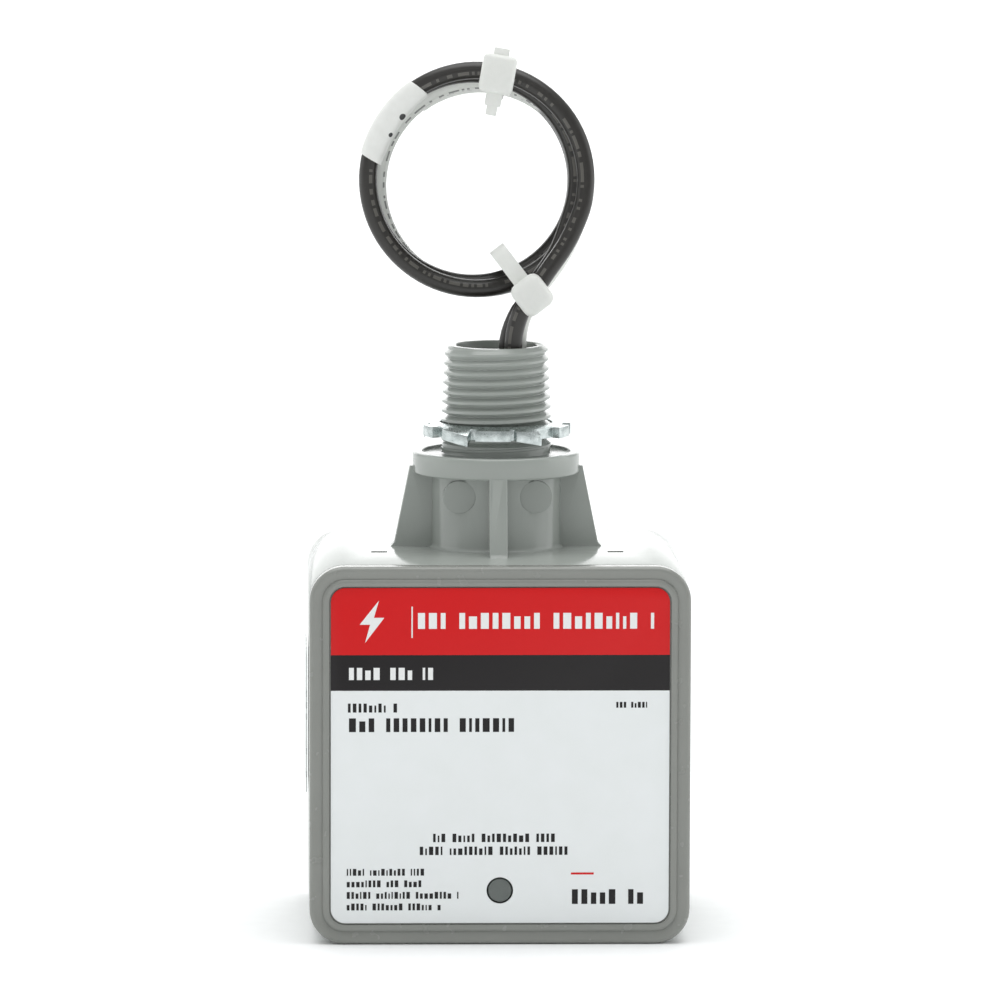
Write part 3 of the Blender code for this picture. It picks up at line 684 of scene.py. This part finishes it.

# ---- Front cover -------------------------------------------------------------------------------------------
# Moulded in the same grey ABS as the case, a little duller, and painted a little darker: the darker grey is
# painted shade, for the dark front that the bezel reflects. A raised bezel with a shallow trough and a bead
# frames the label's recess. A skirt centres it in the case, and four springy arms clip into the slots.

cover_thickness = 3.2 * MM
cover_edge = 0.9 * MM
bezel_width = 3.7 * MM
trough_width = 1.45 * MM
trough_depth = 0.5 * MM
bead_steps = ((0.22 * MM, 0.3 * MM), (0.3 * MM, 0.12 * MM), (0.45 * MM, 0.0), (0.25 * MM, -0.12 * MM))
recess_depth = 0.6 * MM
skirt_gap = 0.3 * MM
skirt_depth = 3.0 * MM
skirt_wall = 1.5 * MM
arm_width = 3.0 * MM
arm_thickness = 1.6 * MM
arm_length = 20.8 * MM
tooth_width = 2.4 * MM
tooth_length = 1.4 * MM
tooth_sink = 0.5 * MM
arm_edge = 0.3 * MM
tooth_edge = 0.15 * MM
lamp_hole_radius = 2.5 * MM

cover_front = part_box("front_cover")[0].y
parting_y = cover_front + cover_thickness

outer_low, outer_high = (case_low.x, cover_front, case_low.z), (case_high.x, parting_y, case_high.z)
cover = block("cover_moulding", outer_low, outer_high)
open_mesh()
round_edges(runs_along("Y", cover_thickness), case_corner, 12)
round_edges(rim_at("Y", parting_y), lip_edge, 2)
round_edges(rim_at("Y", cover_front), cover_edge, 6)
pick("FACE", lies_at("Y", cover_front))
bpy.ops.mesh.inset(thickness=trough_width, depth=-trough_depth)
inset_so_far = cover_edge + trough_width
for step_width, step_rise in bead_steps:
    bpy.ops.mesh.inset(thickness=step_width, depth=step_rise)
    inset_so_far += step_width
bpy.ops.mesh.inset(thickness=bezel_width - inset_so_far)
recess_floor = cover_front + trough_depth - sum(rise for _, rise in bead_steps) + recess_depth
draw_out(0, recess_depth, 0)
pick("FACE", lies_at("Y", parting_y))
bpy.ops.mesh.inset(thickness=case_wall + skirt_gap - lip_edge)
draw_out(0, skirt_depth, 0)
bpy.ops.mesh.inset(thickness=skirt_wall)
draw_out(0, -skirt_depth, 0)
close_mesh()

cavity_half = case_size.z / 2 - case_wall
arm_reach = (cavity_half - skirt_gap, cavity_half - skirt_gap - arm_thickness)
tooth_reach = (cavity_half + case_wall - tooth_sink, cavity_half - arm_thickness)
for side_x in (-1, 1):
    for side_z in (-1, 1):
        arm_x = side_x * slot_x
        arm_z = sorted(case_middle.z + side_z * reach for reach in arm_reach)
        arm_low = (arm_x - arm_width / 2, parting_y - skirt_gap, arm_z[0])
        arm = block("snap_arm", arm_low, (arm_x + arm_width / 2, parting_y + arm_length, arm_z[1]))
        soften(arm, arm_edge)
        combine(cover, arm, "UNION")
        tooth_z = sorted(case_middle.z + side_z * reach for reach in tooth_reach)
        tooth_y = case_low.y + slot_setback
        tooth_low = (arm_x - tooth_width / 2, tooth_y - tooth_length / 2, tooth_z[0])
        tooth_high = (arm_x + tooth_width / 2, tooth_y + tooth_length / 2, tooth_z[1])
        tooth = block("snap_tooth", tooth_low, tooth_high)
        soften(tooth, tooth_edge)
        combine(cover, tooth, "UNION")
combine(cover, rod("lamp_hole", lamp_hole_radius, (0, cover_front, pipe_z), (0, parting_y + MM, pipe_z), 48))
smooth(cover)
# Painted shade: the cover's grey is darker than the case's to stand in for the dark front that the bezel
# reflects.
cover_abs_with_painted_shade = make_abs("moulded_cover_abs_painted_shade", "#82847f", "#8a8c87", 0.2, 0.28)
give(cover, cover_abs_with_painted_shade)
fit(cover, "moulded_grey_plastic", "front_cover")

# ---- Front label -------------------------------------------------------------------------------------------
# White polyester film, screen printed with a red and a black band, die cut with round corners and punched for
# the light. Its print is drawn as bars and blocks of ink, which say nothing, and a plain lightning bolt.

label_side = 63.5 * MM
label_corner = 2.7 * MM
label_front = -29.25 * MM
label_edge = 0.05 * MM
red_band_end = 12.65 * MM
black_band_end = 19.4 * MM
ink_thickness = 0.02 * MM
ink_sink = 0.01 * MM
word_gap = 0.62
letter_gap = 0.24
random.seed(14)

label_left = -label_side / 2
label_top = case_middle.z + label_side / 2
sheet_low = (label_left, label_front, label_top - label_side)
sheet = block("label_sheet", sheet_low, (-label_left, recess_floor, label_top))
open_mesh()
round_edges(runs_along("Y", recess_floor - label_front), label_corner, 10)
round_edges(rim_at("Y", label_front), label_edge, 2)
close_mesh()
punch_start, punch_end = (0, label_front - MM, pipe_z), (0, recess_floor + MM, pipe_z)
combine(sheet, rod("punch", lamp_hole_radius, punch_start, punch_end, 48))
smooth(sheet)


def ink_bar(name, left, down, width, height):
    """A bar of ink, placed by its left end and its middle, from the label's top left corner."""
    low = Vector((label_left + left, label_front - ink_thickness, label_top - down - height / 2))
    return block(name, low, low + Vector((width, ink_thickness + ink_sink, height)))


def ink_words(template, left, right, down, height):
    """Fills a line with words of ink blocks of many widths, copied from one template of size 1."""
    letters = []
    place = left
    word_end = random.randint(3, 8)
    while place < right - 0.3 * height:
        width = height * random.choice((0.2, 0.3, 0.36, 0.4, 0.44, 0.5))
        width = min(width, right - place)
        tall = height * random.choice((0.78, 1.0, 1.0))
        letter = template.copy()
        letter.data = template.data.copy()
        bpy.context.scene.collection.objects.link(letter)
        corner = Vector((label_left + place, label_front - ink_thickness, label_top - down - height / 2))
        size = Matrix.Diagonal((width, ink_thickness + ink_sink, tall, 1))
        letter.data.transform(Matrix.Translation(corner) @ size)
        letters.append(letter)
        place += width + letter_gap * height
        if len(letters) == word_end:
            place += word_gap * height
            word_end += random.randint(3, 9)
    return letters


def merge(name, parts):
    bpy.ops.object.select_all(action="DESELECT")
    for part in parts:
        part.select_set(True)
    bpy.context.view_layer.objects.active = parts[0]
    bpy.ops.object.join()
    parts[0].name = parts[0].data.name = name
    return parts[0]


ink_template = block("ink_template", (0, 0, 0), (1, 1, 1))
white_lines = ((16.3, 61.8, 6.2, 3.0), (3.4, 19.9, 16.2, 2.3))
black_lines = (
    (3.2, 12.4, 22.65, 1.7),
    (3.4, 35.7, 25.9, 2.6),
    (53.5, 59.6, 22.1, 1.1),
    (19.2, 42.5, 47.3, 1.6),
    (16.7, 44.9, 49.75, 1.6),
    (3.0, 17.7, 53.8, 1.3),
    (3.0, 17.3, 56.0, 1.3),
    (3.0, 24.6, 58.2, 1.3),
    (3.0, 20.7, 60.4, 1.3),
    (45.3, 59.6, 58.5, 2.8),
)
white_ink_parts = [ink_bar("divider", 15.08 * MM, 6.45 * MM, 0.25 * MM, 5.9 * MM)]
black_ink_parts = []
for ink_parts, lines in ((white_ink_parts, white_lines), (black_ink_parts, black_lines)):
    for line in lines:
        ink_parts.extend(ink_words(ink_template, *[length * MM for length in line]))
bpy.data.objects.remove(ink_template)

# The bolt: a disc of six corners, drawn out to the corners of a lightning bolt and given the ink's thickness.
bolt_y = label_front - ink_thickness / 2 + ink_sink / 2
bolt_middle = Vector((label_left + 7.7 * MM, bolt_y, label_top - 6.35 * MM))
bolt_corners = ((1.3, 4.0), (-2.3, -0.55), (-0.35, -0.55), (-1.3, -4.0), (2.3, 0.75), (0.35, 0.75))
bpy.ops.mesh.primitive_circle_add(vertices=6, radius=MM, fill_type="NGON", rotation=(math.pi / 2, 0, 0))
bolt = begin("bolt")
for point, (x, z) in zip(bolt.data.vertices, bolt_corners):
    point.co = bolt_middle + Vector((x, 0, z)) * MM
coat = bolt.modifiers.new("coat", "SOLIDIFY")
coat.thickness = ink_thickness + ink_sink
coat.offset = 0
apply_all(bolt)
white_ink_parts.append(bolt)
white_ink = merge("label_print_white", white_ink_parts)
black_ink = merge("label_print_black", black_ink_parts)
red_ink = ink_bar("label_print_red", 45.1 * MM, 54.1 * MM, 4.3 * MM, 0.4 * MM)

# Polyester film under a clear satin overprint. The bands are laid down by height, and their edges waver by a
# few hundredths of a millimetre. The ink carries the screen's fine mesh, and the bare film a faint cloud.
film = start_material("printed_polyester_film")
film_place = add_node(film, "TexCoord").outputs["Object"]
film_height = add_node(film, "SeparateXYZ", {"Vector": film_place}).outputs["Z"]
waver = spread(film, grain(film, 0.25 * MM, 1.0), 0.0, 1.0, -0.03 * MM, 0.03 * MM)
film_edge = add_node(film, "Math", {0: film_height, 1: waver}, operation="ADD").outputs[0]
in_black, in_red = (
    add_node(film, "Math", {0: film_edge, 1: label_top - end}, operation="GREATER_THAN").outputs[0]
    for end in (black_band_end, red_band_end)
)
film_cloud = grain(film, 6 * MM, 3.0)
paper = blend(film, film_cloud, "#e6eae9", "#eceff0")
screen = grain(film, 0.12 * MM, 1.0)
black_coat = blend(film, screen, "#1b191a", "#232021")
red_coat = blend(film, screen, "#cb1316", "#d4181b")
under = add_node(film, "Mix", {0: in_black, 6: paper, 7: black_coat}, data_type="RGBA").outputs[2]
film_colour = add_node(film, "Mix", {0: in_red, 6: under, 7: red_coat}, data_type="RGBA").outputs[2]
finish(film, film_colour, spread(film, film_cloud, 0.3, 0.7, 0.3, 0.38), screen, 0.002 * MM, IOR=1.36)
give(sheet, film)
fit(sheet, "label_film", "front_label")

# Screen ink: matt, with the marks of the screen's mesh in its colour and skin.
ink_colours = (
    (white_ink, "#e4e6e5", "#eff0ef"),
    (black_ink, "#161516", "#201e1f"),
    (red_ink, "#c81a1c", "#d62224"),
)
for piece, dark, light in ink_colours:
    ink_name = piece.name.replace("label_print", "screen_ink")
    give(piece, mottled(ink_name, 0.15 * MM, 2.0, dark, light, 0.42, 0.003 * MM, IOR=1.36))
    fit(piece, "label_film")

# The side labels' film: white, with rows of faint grey marks 1.2 mm high and 2.2 mm apart.
side_film = start_material("side_polyester_film")
side_place = add_node(side_film, "SeparateXYZ", {"Vector": place_on(side_film, (MM, 1.5 * MM, 2.2 * MM))})
row = add_node(side_film, "Math", {0: side_place.outputs["Z"]}, operation="FRACT").outputs[0]
in_row = add_node(side_film, "Math", {0: row, 1: 0.55}, operation="LESS_THAN").outputs[0]
row_number = add_node(side_film, "Math", {0: side_place.outputs["Z"]}, operation="FLOOR").outputs[0]
mark_number = add_node(side_film, "Math", {0: side_place.outputs["Y"]}, operation="FLOOR").outputs[0]
cell = add_node(side_film, "CombineXYZ", {"Y": mark_number, "Z": row_number}).outputs[0]
chance = add_node(side_film, "TexWhiteNoise", {"Vector": cell}).outputs["Value"]
printed = add_node(side_film, "Math", {0: chance, 1: 0.35}, operation="GREATER_THAN").outputs[0]
mark_share = add_node(side_film, "Math", {0: printed, 1: in_row}, operation="MULTIPLY").outputs[0]
side_colour = blend(side_film, mark_share, "#e3e7e6", "#c4c8c7")
finish(side_film, side_colour, 0.42, grain(side_film, 0.2 * MM), 0.002 * MM)
dress(["side_label_left", "side_label_right"], side_film)

# ---- Leads -------------------------------------------------------------------------------------------------
# Three stranded copper leads of 12 gauge in PVC, two black and one white, 457 mm long. Each leaves the
# nipple's mouth and is wound into one coil, three side by side: black, black a little inside, and white.

lead_radius = 1.7 * MM
lead_length = 457 * MM
below_mouth = 2.0 * MM
lead_step = 1.5 * MM
coil_frame = (
    Matrix.Translation((-3.85 * MM, neck_axis.y, 141.45 * MM))
    @ Matrix.Rotation(math.radians(-1.7), 4, "Z")
    @ Matrix.Rotation(math.radians(-5.4), 4, "X")
)
coil_start = -18
coil_turn_step = 10
coil_turns = 4
coil_advance = 9.6 * MM
strand_radius = 1.2 * MM
strand_stand = 0.35 * MM
strand_edge = 0.1 * MM


def on_coil(angle, radius, depth, shift=(0.0, 0.0)):
    """A point of the coil, by degrees anticlockwise from its right, radius and depth from its front."""
    a = math.radians(angle)
    return coil_frame @ Vector((radius * math.cos(a) + shift[0], depth, radius * math.sin(a) + shift[1]))


def curve_through(corners, share=8):
    """A smooth line through corners, as Catmull-Rom arcs of even steps."""
    ends = [2 * corners[0] - corners[1], *corners, 2 * corners[-1] - corners[-2]]
    line = []
    for a, b, c, d in zip(ends, ends[1:], ends[2:], ends[3:]):
        for step in range(share):
            t = step / share
            square, cube = 2 * a - 5 * b + 4 * c - d, 3 * b - a - 3 * c + d
            line.append(0.5 * (2 * b + (c - a) * t + square * t**2 + cube * t**3))
    return [*line, corners[-1]]


def even_steps(line, length, step):
    """Points along a line at even steps, for a given length."""
    count = round(length / step)
    points, walked, index = [line[0]], 0.0, 0
    for number in range(1, count + 1):
        wanted = length * number / count
        while walked + (line[index + 1] - line[index]).length < wanted:
            walked += (line[index + 1] - line[index]).length
            index += 1
        share = (wanted - walked) / (line[index + 1] - line[index]).length
        points.append(line[index].lerp(line[index + 1], share))
    return points


def tube(name, points, radius):
    """A round tube along points, with capped ends, whose UV map runs along and around it."""
    curve = bpy.data.curves.new(name, "CURVE")
    curve.dimensions = "3D"
    curve.bevel_depth = radius
    curve.bevel_resolution = 6
    curve.use_fill_caps = True
    spline = curve.splines.new("POLY")
    spline.points.add(len(points) - 1)
    for point, place in zip(spline.points, points):
        point.co = (*place, 1)
    piece = bpy.data.objects.new(name, curve)
    bpy.context.scene.collection.objects.link(piece)
    choose(piece)
    bpy.ops.object.convert(target="MESH")
    return bpy.context.object


# PVC insulation: extruded, with a low gloss and a slight drag along it. Its legend is drawn as a thin row of
# light marks, half a millimetre long or a few times that.
legend_step = 0.55 * MM
legend_drift = 0.2
legend_half_width = 0.032


def make_pvc(name, dark, light, mark, band, roughness):
    pvc = start_material(name)
    along = add_node(pvc, "UVMap", uv_map="UVMap").outputs["UV"]
    parts = add_node(pvc, "SeparateXYZ", {"Vector": along})
    far, around = parts.outputs["X"], parts.outputs["Y"]
    cells = add_node(pvc, "Math", {0: far, 1: lead_length / legend_step}, operation="MULTIPLY").outputs[0]
    column = add_node(pvc, "Math", {0: cells}, operation="FLOOR").outputs[0]
    drift = add_node(pvc, "Math", {0: far, 1: legend_drift, 2: around}, operation="MULTIPLY_ADD").outputs[0]
    limits = {0: drift, 1: band, 2: legend_half_width}
    in_band = add_node(pvc, "Math", limits, operation="COMPARE").outputs[0]
    chance = add_node(pvc, "TexWhiteNoise", {"W": column}, noise_dimensions="1D").outputs["Value"]
    printed = add_node(pvc, "Math", {0: chance, 1: 0.45}, operation="GREATER_THAN").outputs[0]
    share = add_node(pvc, "Math", {0: printed, 1: in_band}, operation="MULTIPLY").outputs[0]
    drag = grain(pvc, 0.8 * MM, 3.0)
    body = blend(pvc, drag, dark, light)
    colour = add_node(pvc, "Mix", {0: share, 6: body, 7: linear(mark)}, data_type="RGBA").outputs[2]
    finish(pvc, colour, spread(pvc, drag, 0.3, 0.7, roughness, roughness + 0.1), drag, 0.01 * MM, IOR=1.52)
    return pvc


black_pvc = make_pvc("black_pvc", "#22201d", "#2b2926", "#56544f", 0.95, 0.28)
white_pvc = make_pvc("white_pvc", "#e1e3de", "#e9ebe6", "#8d8f8c", 0.8, 0.36)

# The cut ends of the strands: tinned copper, in a bundle of dots 0.3 mm wide.
strands = start_material("tinned_copper_strands")
dot_place = place_on(strands, (0.3 * MM,) * 3)
strand_dots = add_node(strands, "TexVoronoi", {"Vector": dot_place}).outputs["Distance"]
finish(strands, blend(strands, strand_dots, "#e2c7ad", "#8a6a4c"), 0.3, strand_dots, 0.06 * MM, Metallic=1.0)

# Each lead: its CAD node, its steps from the nipple's mouth, how it comes onto the coil as (degrees, radius,
# depth), and its turns' radius, first depth and shift to the right and upwards, in millimetres.
leads = {
    "lead_black_1": (
        ((3.1, -4.4, 0.0), (3.25, -4.5, 2.2), (3.8, -4.7, 4.7), (4.7, -5.0, 7.1), (5.93, -5.4, 9.2)),
        ((-66.2, 24.8, -5.4), (-53.6, 22.2, -4.7), (-35.6, 20.96, -3.6)),
        (20.7, -3.0, 0.0, 0.0),
        black_pvc,
        "black_wire_insulation",
    ),
    "lead_black_2": (
        ((2.1, -0.7, 0.0), (2.45, -0.8, 2.2), (3.3, -1.0, 4.6), (4.5, -1.3, 6.9), (6.0, -1.7, 8.8)),
        ((-66.0, 23.9, -1.7), (-50.0, 21.3, -0.9), (-38.0, 20.2, -0.2)),
        (19.9, 0.2, -0.8, 0.2),
        black_pvc,
        "black_wire_insulation",
    ),
    "lead_white": (
        ((4.1, 3.0, 0.0), (4.3, 2.9, 2.1), (4.8, 2.7, 4.4), (5.7, 2.4, 6.6), (6.8, 2.0, 8.5)),
        ((-66.0, 24.8, 1.9), (-50.0, 22.4, 2.4), (-36.0, 21.3, 2.9)),
        (19.8, 3.4, 0.6, -0.9),
        white_pvc,
        "white_wire_insulation",
    ),
}
for lead_name, (steps, joins, (ring, depth, *shift), insulation, lead_slot) in leads.items():
    mouth, *route = [neck_axis + Vector(step) * MM + Vector((0, 0, nipple_top)) for step in steps]
    corners = [mouth - Vector((0, 0, below_mouth)), mouth, *route]
    corners += [on_coil(angle, radius * MM, join_depth * MM) for angle, radius, join_depth in joins]
    for turn in range(0, 360 * coil_turns, coil_turn_step):
        turn_depth = depth * MM + coil_advance * turn / 360
        corners.append(on_coil(coil_start + turn, ring * MM, turn_depth, [move * MM for move in shift]))
    path = even_steps(curve_through(corners), lead_length, lead_step)
    lead = tube(lead_name.replace("lead", "insulation"), path, lead_radius)
    smooth(lead, 60)
    give(lead, insulation)
    fit(lead, lead_slot, lead_name, "lead_coil")
    onward = (path[-1] - path[-2]).normalized()
    strands_start, strands_end = path[-1] - onward * MM, path[-1] + onward * strand_stand
    end = rod(lead_name.replace("lead", "strands"), strand_radius, strands_start, strands_end, 24)
    soften(end, strand_edge)
    smooth(end)
    give(end, strands)
    fit(end, "tinned_brass")
first_lead_depth = leads["lead_black_1"][2][1] * MM
dress(["inner_lead_black_1", "inner_lead_black_2"], black_pvc)
dress(["inner_lead_white"], white_pvc)

# ---- Marker sleeve -----------------------------------------------------------------------------------------
# A short white vinyl sleeve, slid over the front black lead and pressed a little flat, with two ink marks.

sleeve_start, sleeve_end = 122, 169.6
sleeve_skew = 2.1
sleeve_steps = 24
sleeve_sides = 32
sleeve_half_width = 2.4 * MM
sleeve_half_depth = 1.95 * MM
sleeve_taper = 0.3 * MM
sleeve_radius = 20.1 * MM
sleeve_rise = 0.4 * MM
sleeve_wall = 0.35 * MM

sleeve_depth = first_lead_depth + coil_advance * ((sleeve_start + sleeve_end) / 2 - coil_start) / 360
bpy.ops.mesh.primitive_cylinder_add(
    vertices=sleeve_sides, radius=1, depth=1, end_fill_type="NOTHING"
)
sleeve = begin("marker_sleeve")
open_mesh()
for step in range(1, sleeve_steps):
    bpy.ops.mesh.select_all(action="SELECT")
    bpy.ops.mesh.bisect(plane_co=(0, 0, step / sleeve_steps - 0.5), plane_no=(0, 0, 1))
close_mesh()
for point in sleeve.data.vertices:
    share = point.co.z + 0.5
    from_middle = abs(2 * share - 1)
    squeeze = [math.copysign(abs(c) ** 0.8, c) for c in (point.co.x, point.co.y)]
    angle = sleeve_start + (sleeve_end - sleeve_start) * share - sleeve_skew * squeeze[0] * (2 * share - 1)
    half_width = sleeve_half_width - sleeve_taper * from_middle**3
    out = sleeve_radius + sleeve_rise * from_middle**2 + squeeze[0] * half_width
    depth = sleeve_depth + coil_advance * (sleeve_end - sleeve_start) * (share - 0.5) / 360
    point.co = on_coil(angle, out, depth + squeeze[1] * sleeve_half_depth)
choose(sleeve)
open_mesh()
close_mesh(face_outwards=True)
wall = sleeve.modifiers.new("wall", "SOLIDIFY")
wall.thickness = sleeve_wall
wall.offset = -1
soften(sleeve, 0.1 * MM)
smooth(sleeve, 50)

# Soft vinyl: white with a faint warm cloud and fine creases, and two small dark marks by its inner edge.
vinyl = start_material("white_vinyl_sleeve")
creases = grain(vinyl, 1.5 * MM, 4.0)
vinyl_place = add_node(vinyl, "TexCoord").outputs["Object"]
vinyl_colour = blend(vinyl, creases, "#dfe0dc", "#ecedea")
for mark_angle, mark_size in ((140, 0.62 * MM), (152.8, 0.42 * MM)):
    mark_depth = sleeve_depth + coil_advance * (mark_angle - (sleeve_start + sleeve_end) / 2) / 360
    mark_place = on_coil(mark_angle, sleeve_radius - 1.75 * MM, mark_depth - 0.75 * sleeve_half_depth)
    away = add_node(vinyl, "VectorMath", {0: vinyl_place, 1: mark_place}, operation="DISTANCE")
    in_mark = spread(vinyl, away.outputs["Value"], mark_size, mark_size + 0.08 * MM, 1.0, 0.0)
    inks = {0: in_mark, 6: vinyl_colour, 7: linear("#3a3b3b")}
    vinyl_colour = add_node(vinyl, "Mix", inks, data_type="RGBA").outputs[2]
finish(vinyl, vinyl_colour, spread(vinyl, creases, 0.3, 0.7, 0.38, 0.5), creases, 0.03 * MM, IOR=1.5)
give(sleeve, vinyl)
fit(sleeve, "white_wire_insulation", "wire_marker")

# ---- Cable ties --------------------------------------------------------------------------------------------
# Two moulded nylon ties, each closed round the bundle, with a blunt head on the front of the coil. The upper
# one's tail was cut off a few millimetres past its head, and the lower one's flush.

tie_width = 3.2 * MM
tie_thickness = 1.1 * MM
tie_front = -5.3 * MM
tie_back = 36.2 * MM
tie_corner = 2.4 * MM
head_depth = 4.2 * MM
head_width = 6.5 * MM
upper_stubs = (
    (3.0 * MM, 0.0, 5.0 * MM, 1.0 * MM),
    (3.1 * MM, -6.1 * MM, 0.0, 0.9 * MM),
    (2.1 * MM, -7.9 * MM, 0.0, 0.8 * MM),
)


def tie(name, node, place, inward, reach_in, reach_out, head_length, head_edge, stubs):
    """A closed strap round the coil's leads, with a head on its front, set by its inward direction."""
    x, z = place
    facing = Matrix.Translation((x, 0, z)) @ Matrix.Rotation(math.radians(-90 - inward), 4, "Y")
    strap = block(name, (-tie_width / 2, tie_front, -reach_in), (tie_width / 2, tie_back, reach_out))
    hole_low = (-tie_width, tie_front + tie_thickness, -reach_in + tie_thickness)
    hole_high = (tie_width, tie_back - tie_thickness, reach_out - tie_thickness)
    hole = block("hole", hole_low, hole_high)
    for loop, corner in ((strap, tie_corner), (hole, tie_corner - tie_thickness)):
        choose(loop)
        open_mesh()
        round_edges(runs_along("X", tie_width), corner, 6)
        close_mesh()
    combine(strap, hole)
    soften(strap, 0.15 * MM)
    head_low = (-head_width / 2, tie_front - head_depth + tie_thickness, -head_length / 2)
    head = block("tie_head", head_low, (head_width / 2, tie_front + tie_thickness * 0.9, head_length / 2))
    soften(head, head_edge, 4)
    combine(strap, head, "UNION")
    for width, low, high, stand in stubs:
        stub_low = (-width / 2, tie_front - tie_thickness - stand, low)
        stub = block("tie_stub", stub_low, (width / 2, tie_front - stand, high))
        soften(stub, 0.2 * MM)
        combine(strap, stub, "UNION")
    strap.data.transform(coil_frame @ facing)
    smooth(strap, 40)
    give(strap, nylon)
    fit(strap, "natural_nylon", node)


# Natural nylon: milky, a little clear where it is thin, with a satin moulded skin.
nylon = mottled(
    "natural_nylon",
    1.2 * MM,
    3.0,
    "#eef0eb",
    "#f7f8f4",
    (0.32, 0.44),
    0.02 * MM,
    IOR=1.53,
    Transmission_Weight=0.2,
)
upper_place, lower_place = (4.0 * MM, 19.8 * MM), (10.6 * MM, -21.9 * MM)
tie("tie_upper", "upper_tie", upper_place, -100, 3.8 * MM, 3.6 * MM, 7.4 * MM, 1.1 * MM, upper_stubs)
tie("tie_lower", "lower_tie", lower_place, 127.5, 11.3 * MM, 3.4 * MM, 7.0 * MM, 1.7 * MM, ())

# ---- Floor, lights and camera ------------------------------------------------------------------------------
# A plain pale floor under a broad soft light from above, with softboxes behind, in front and at both sides,
# seen from just above the object's front by a long lens.

floor_side = 10.0
sun_power, sun_spread = 2.0, 60
sky_strength = 0.55
camera_place = Vector((-44.8, -1585.2, 272.8)) * MM
camera_pan, camera_tilt, camera_roll = -0.02868, -0.12065, 0.00274

bpy.ops.mesh.primitive_plane_add(size=floor_side, location=(0, 2.0, -0.05 * MM))
floor = begin("floor")
give(floor, mottled("pale_paper", 4 * MM, 4.0, "#f4f5f5", "#fafbfb", 0.9, 0.01 * MM))


def soft_light(name, place, aim, width, height, power):
    """A rectangular studio light that faces a point."""
    turn = (Vector(aim) - Vector(place)).to_track_quat("-Z", "Y").to_euler()
    bpy.ops.object.light_add(type="AREA", location=place, rotation=turn)
    lamp = bpy.context.object
    lamp.name = name
    lamp.data.shape = "RECTANGLE"
    lamp.data.size, lamp.data.size_y = width, height
    lamp.data.energy = power
    return lamp


object_middle = Vector((0, neck_axis.y, 0.09))
back_panel = soft_light("back_softbox", (0.0, 3.4, 1.4), (0.0, 0.0, 1.2), 4.0, 2.6, 55.0)
front_panel = soft_light("front_softbox", (-0.5, -1.6, 1.1), object_middle, 1.2, 0.8, 1.5)
left_panel = soft_light("left_softbox", (-1.7, 0.2, 0.5), object_middle, 1.5, 1.4, 5.0)
right_panel = soft_light("right_softbox", (1.7, 0.2, 0.5), object_middle, 1.5, 1.4, 7.0)
bpy.ops.object.light_add(type="SUN", location=(0, 0, 2))
overhead = bpy.context.object
overhead.name = "overhead_light"
overhead.data.energy = sun_power
overhead.data.angle = math.radians(sun_spread)
world = bpy.data.worlds.new("studio")
bpy.context.scene.world = world
world.use_nodes = True
sky = world.node_tree.nodes["Background"].inputs
sky["Color"].default_value = linear("#f2f4f5")
sky["Strength"].default_value = sky_strength

bpy.ops.object.camera_add()
camera = bpy.context.object
camera.matrix_world = (
    Matrix.Translation(camera_place)
    @ Matrix.Rotation(camera_pan, 4, "Z")
    @ Matrix.Rotation(math.pi / 2 + camera_tilt, 4, "X")
    @ Matrix.Rotation(camera_roll, 4, "Z")
)
camera.data.lens = 302.2
camera.data.sensor_width = 36
camera.data.clip_end = 50
bpy.context.scene.camera = camera
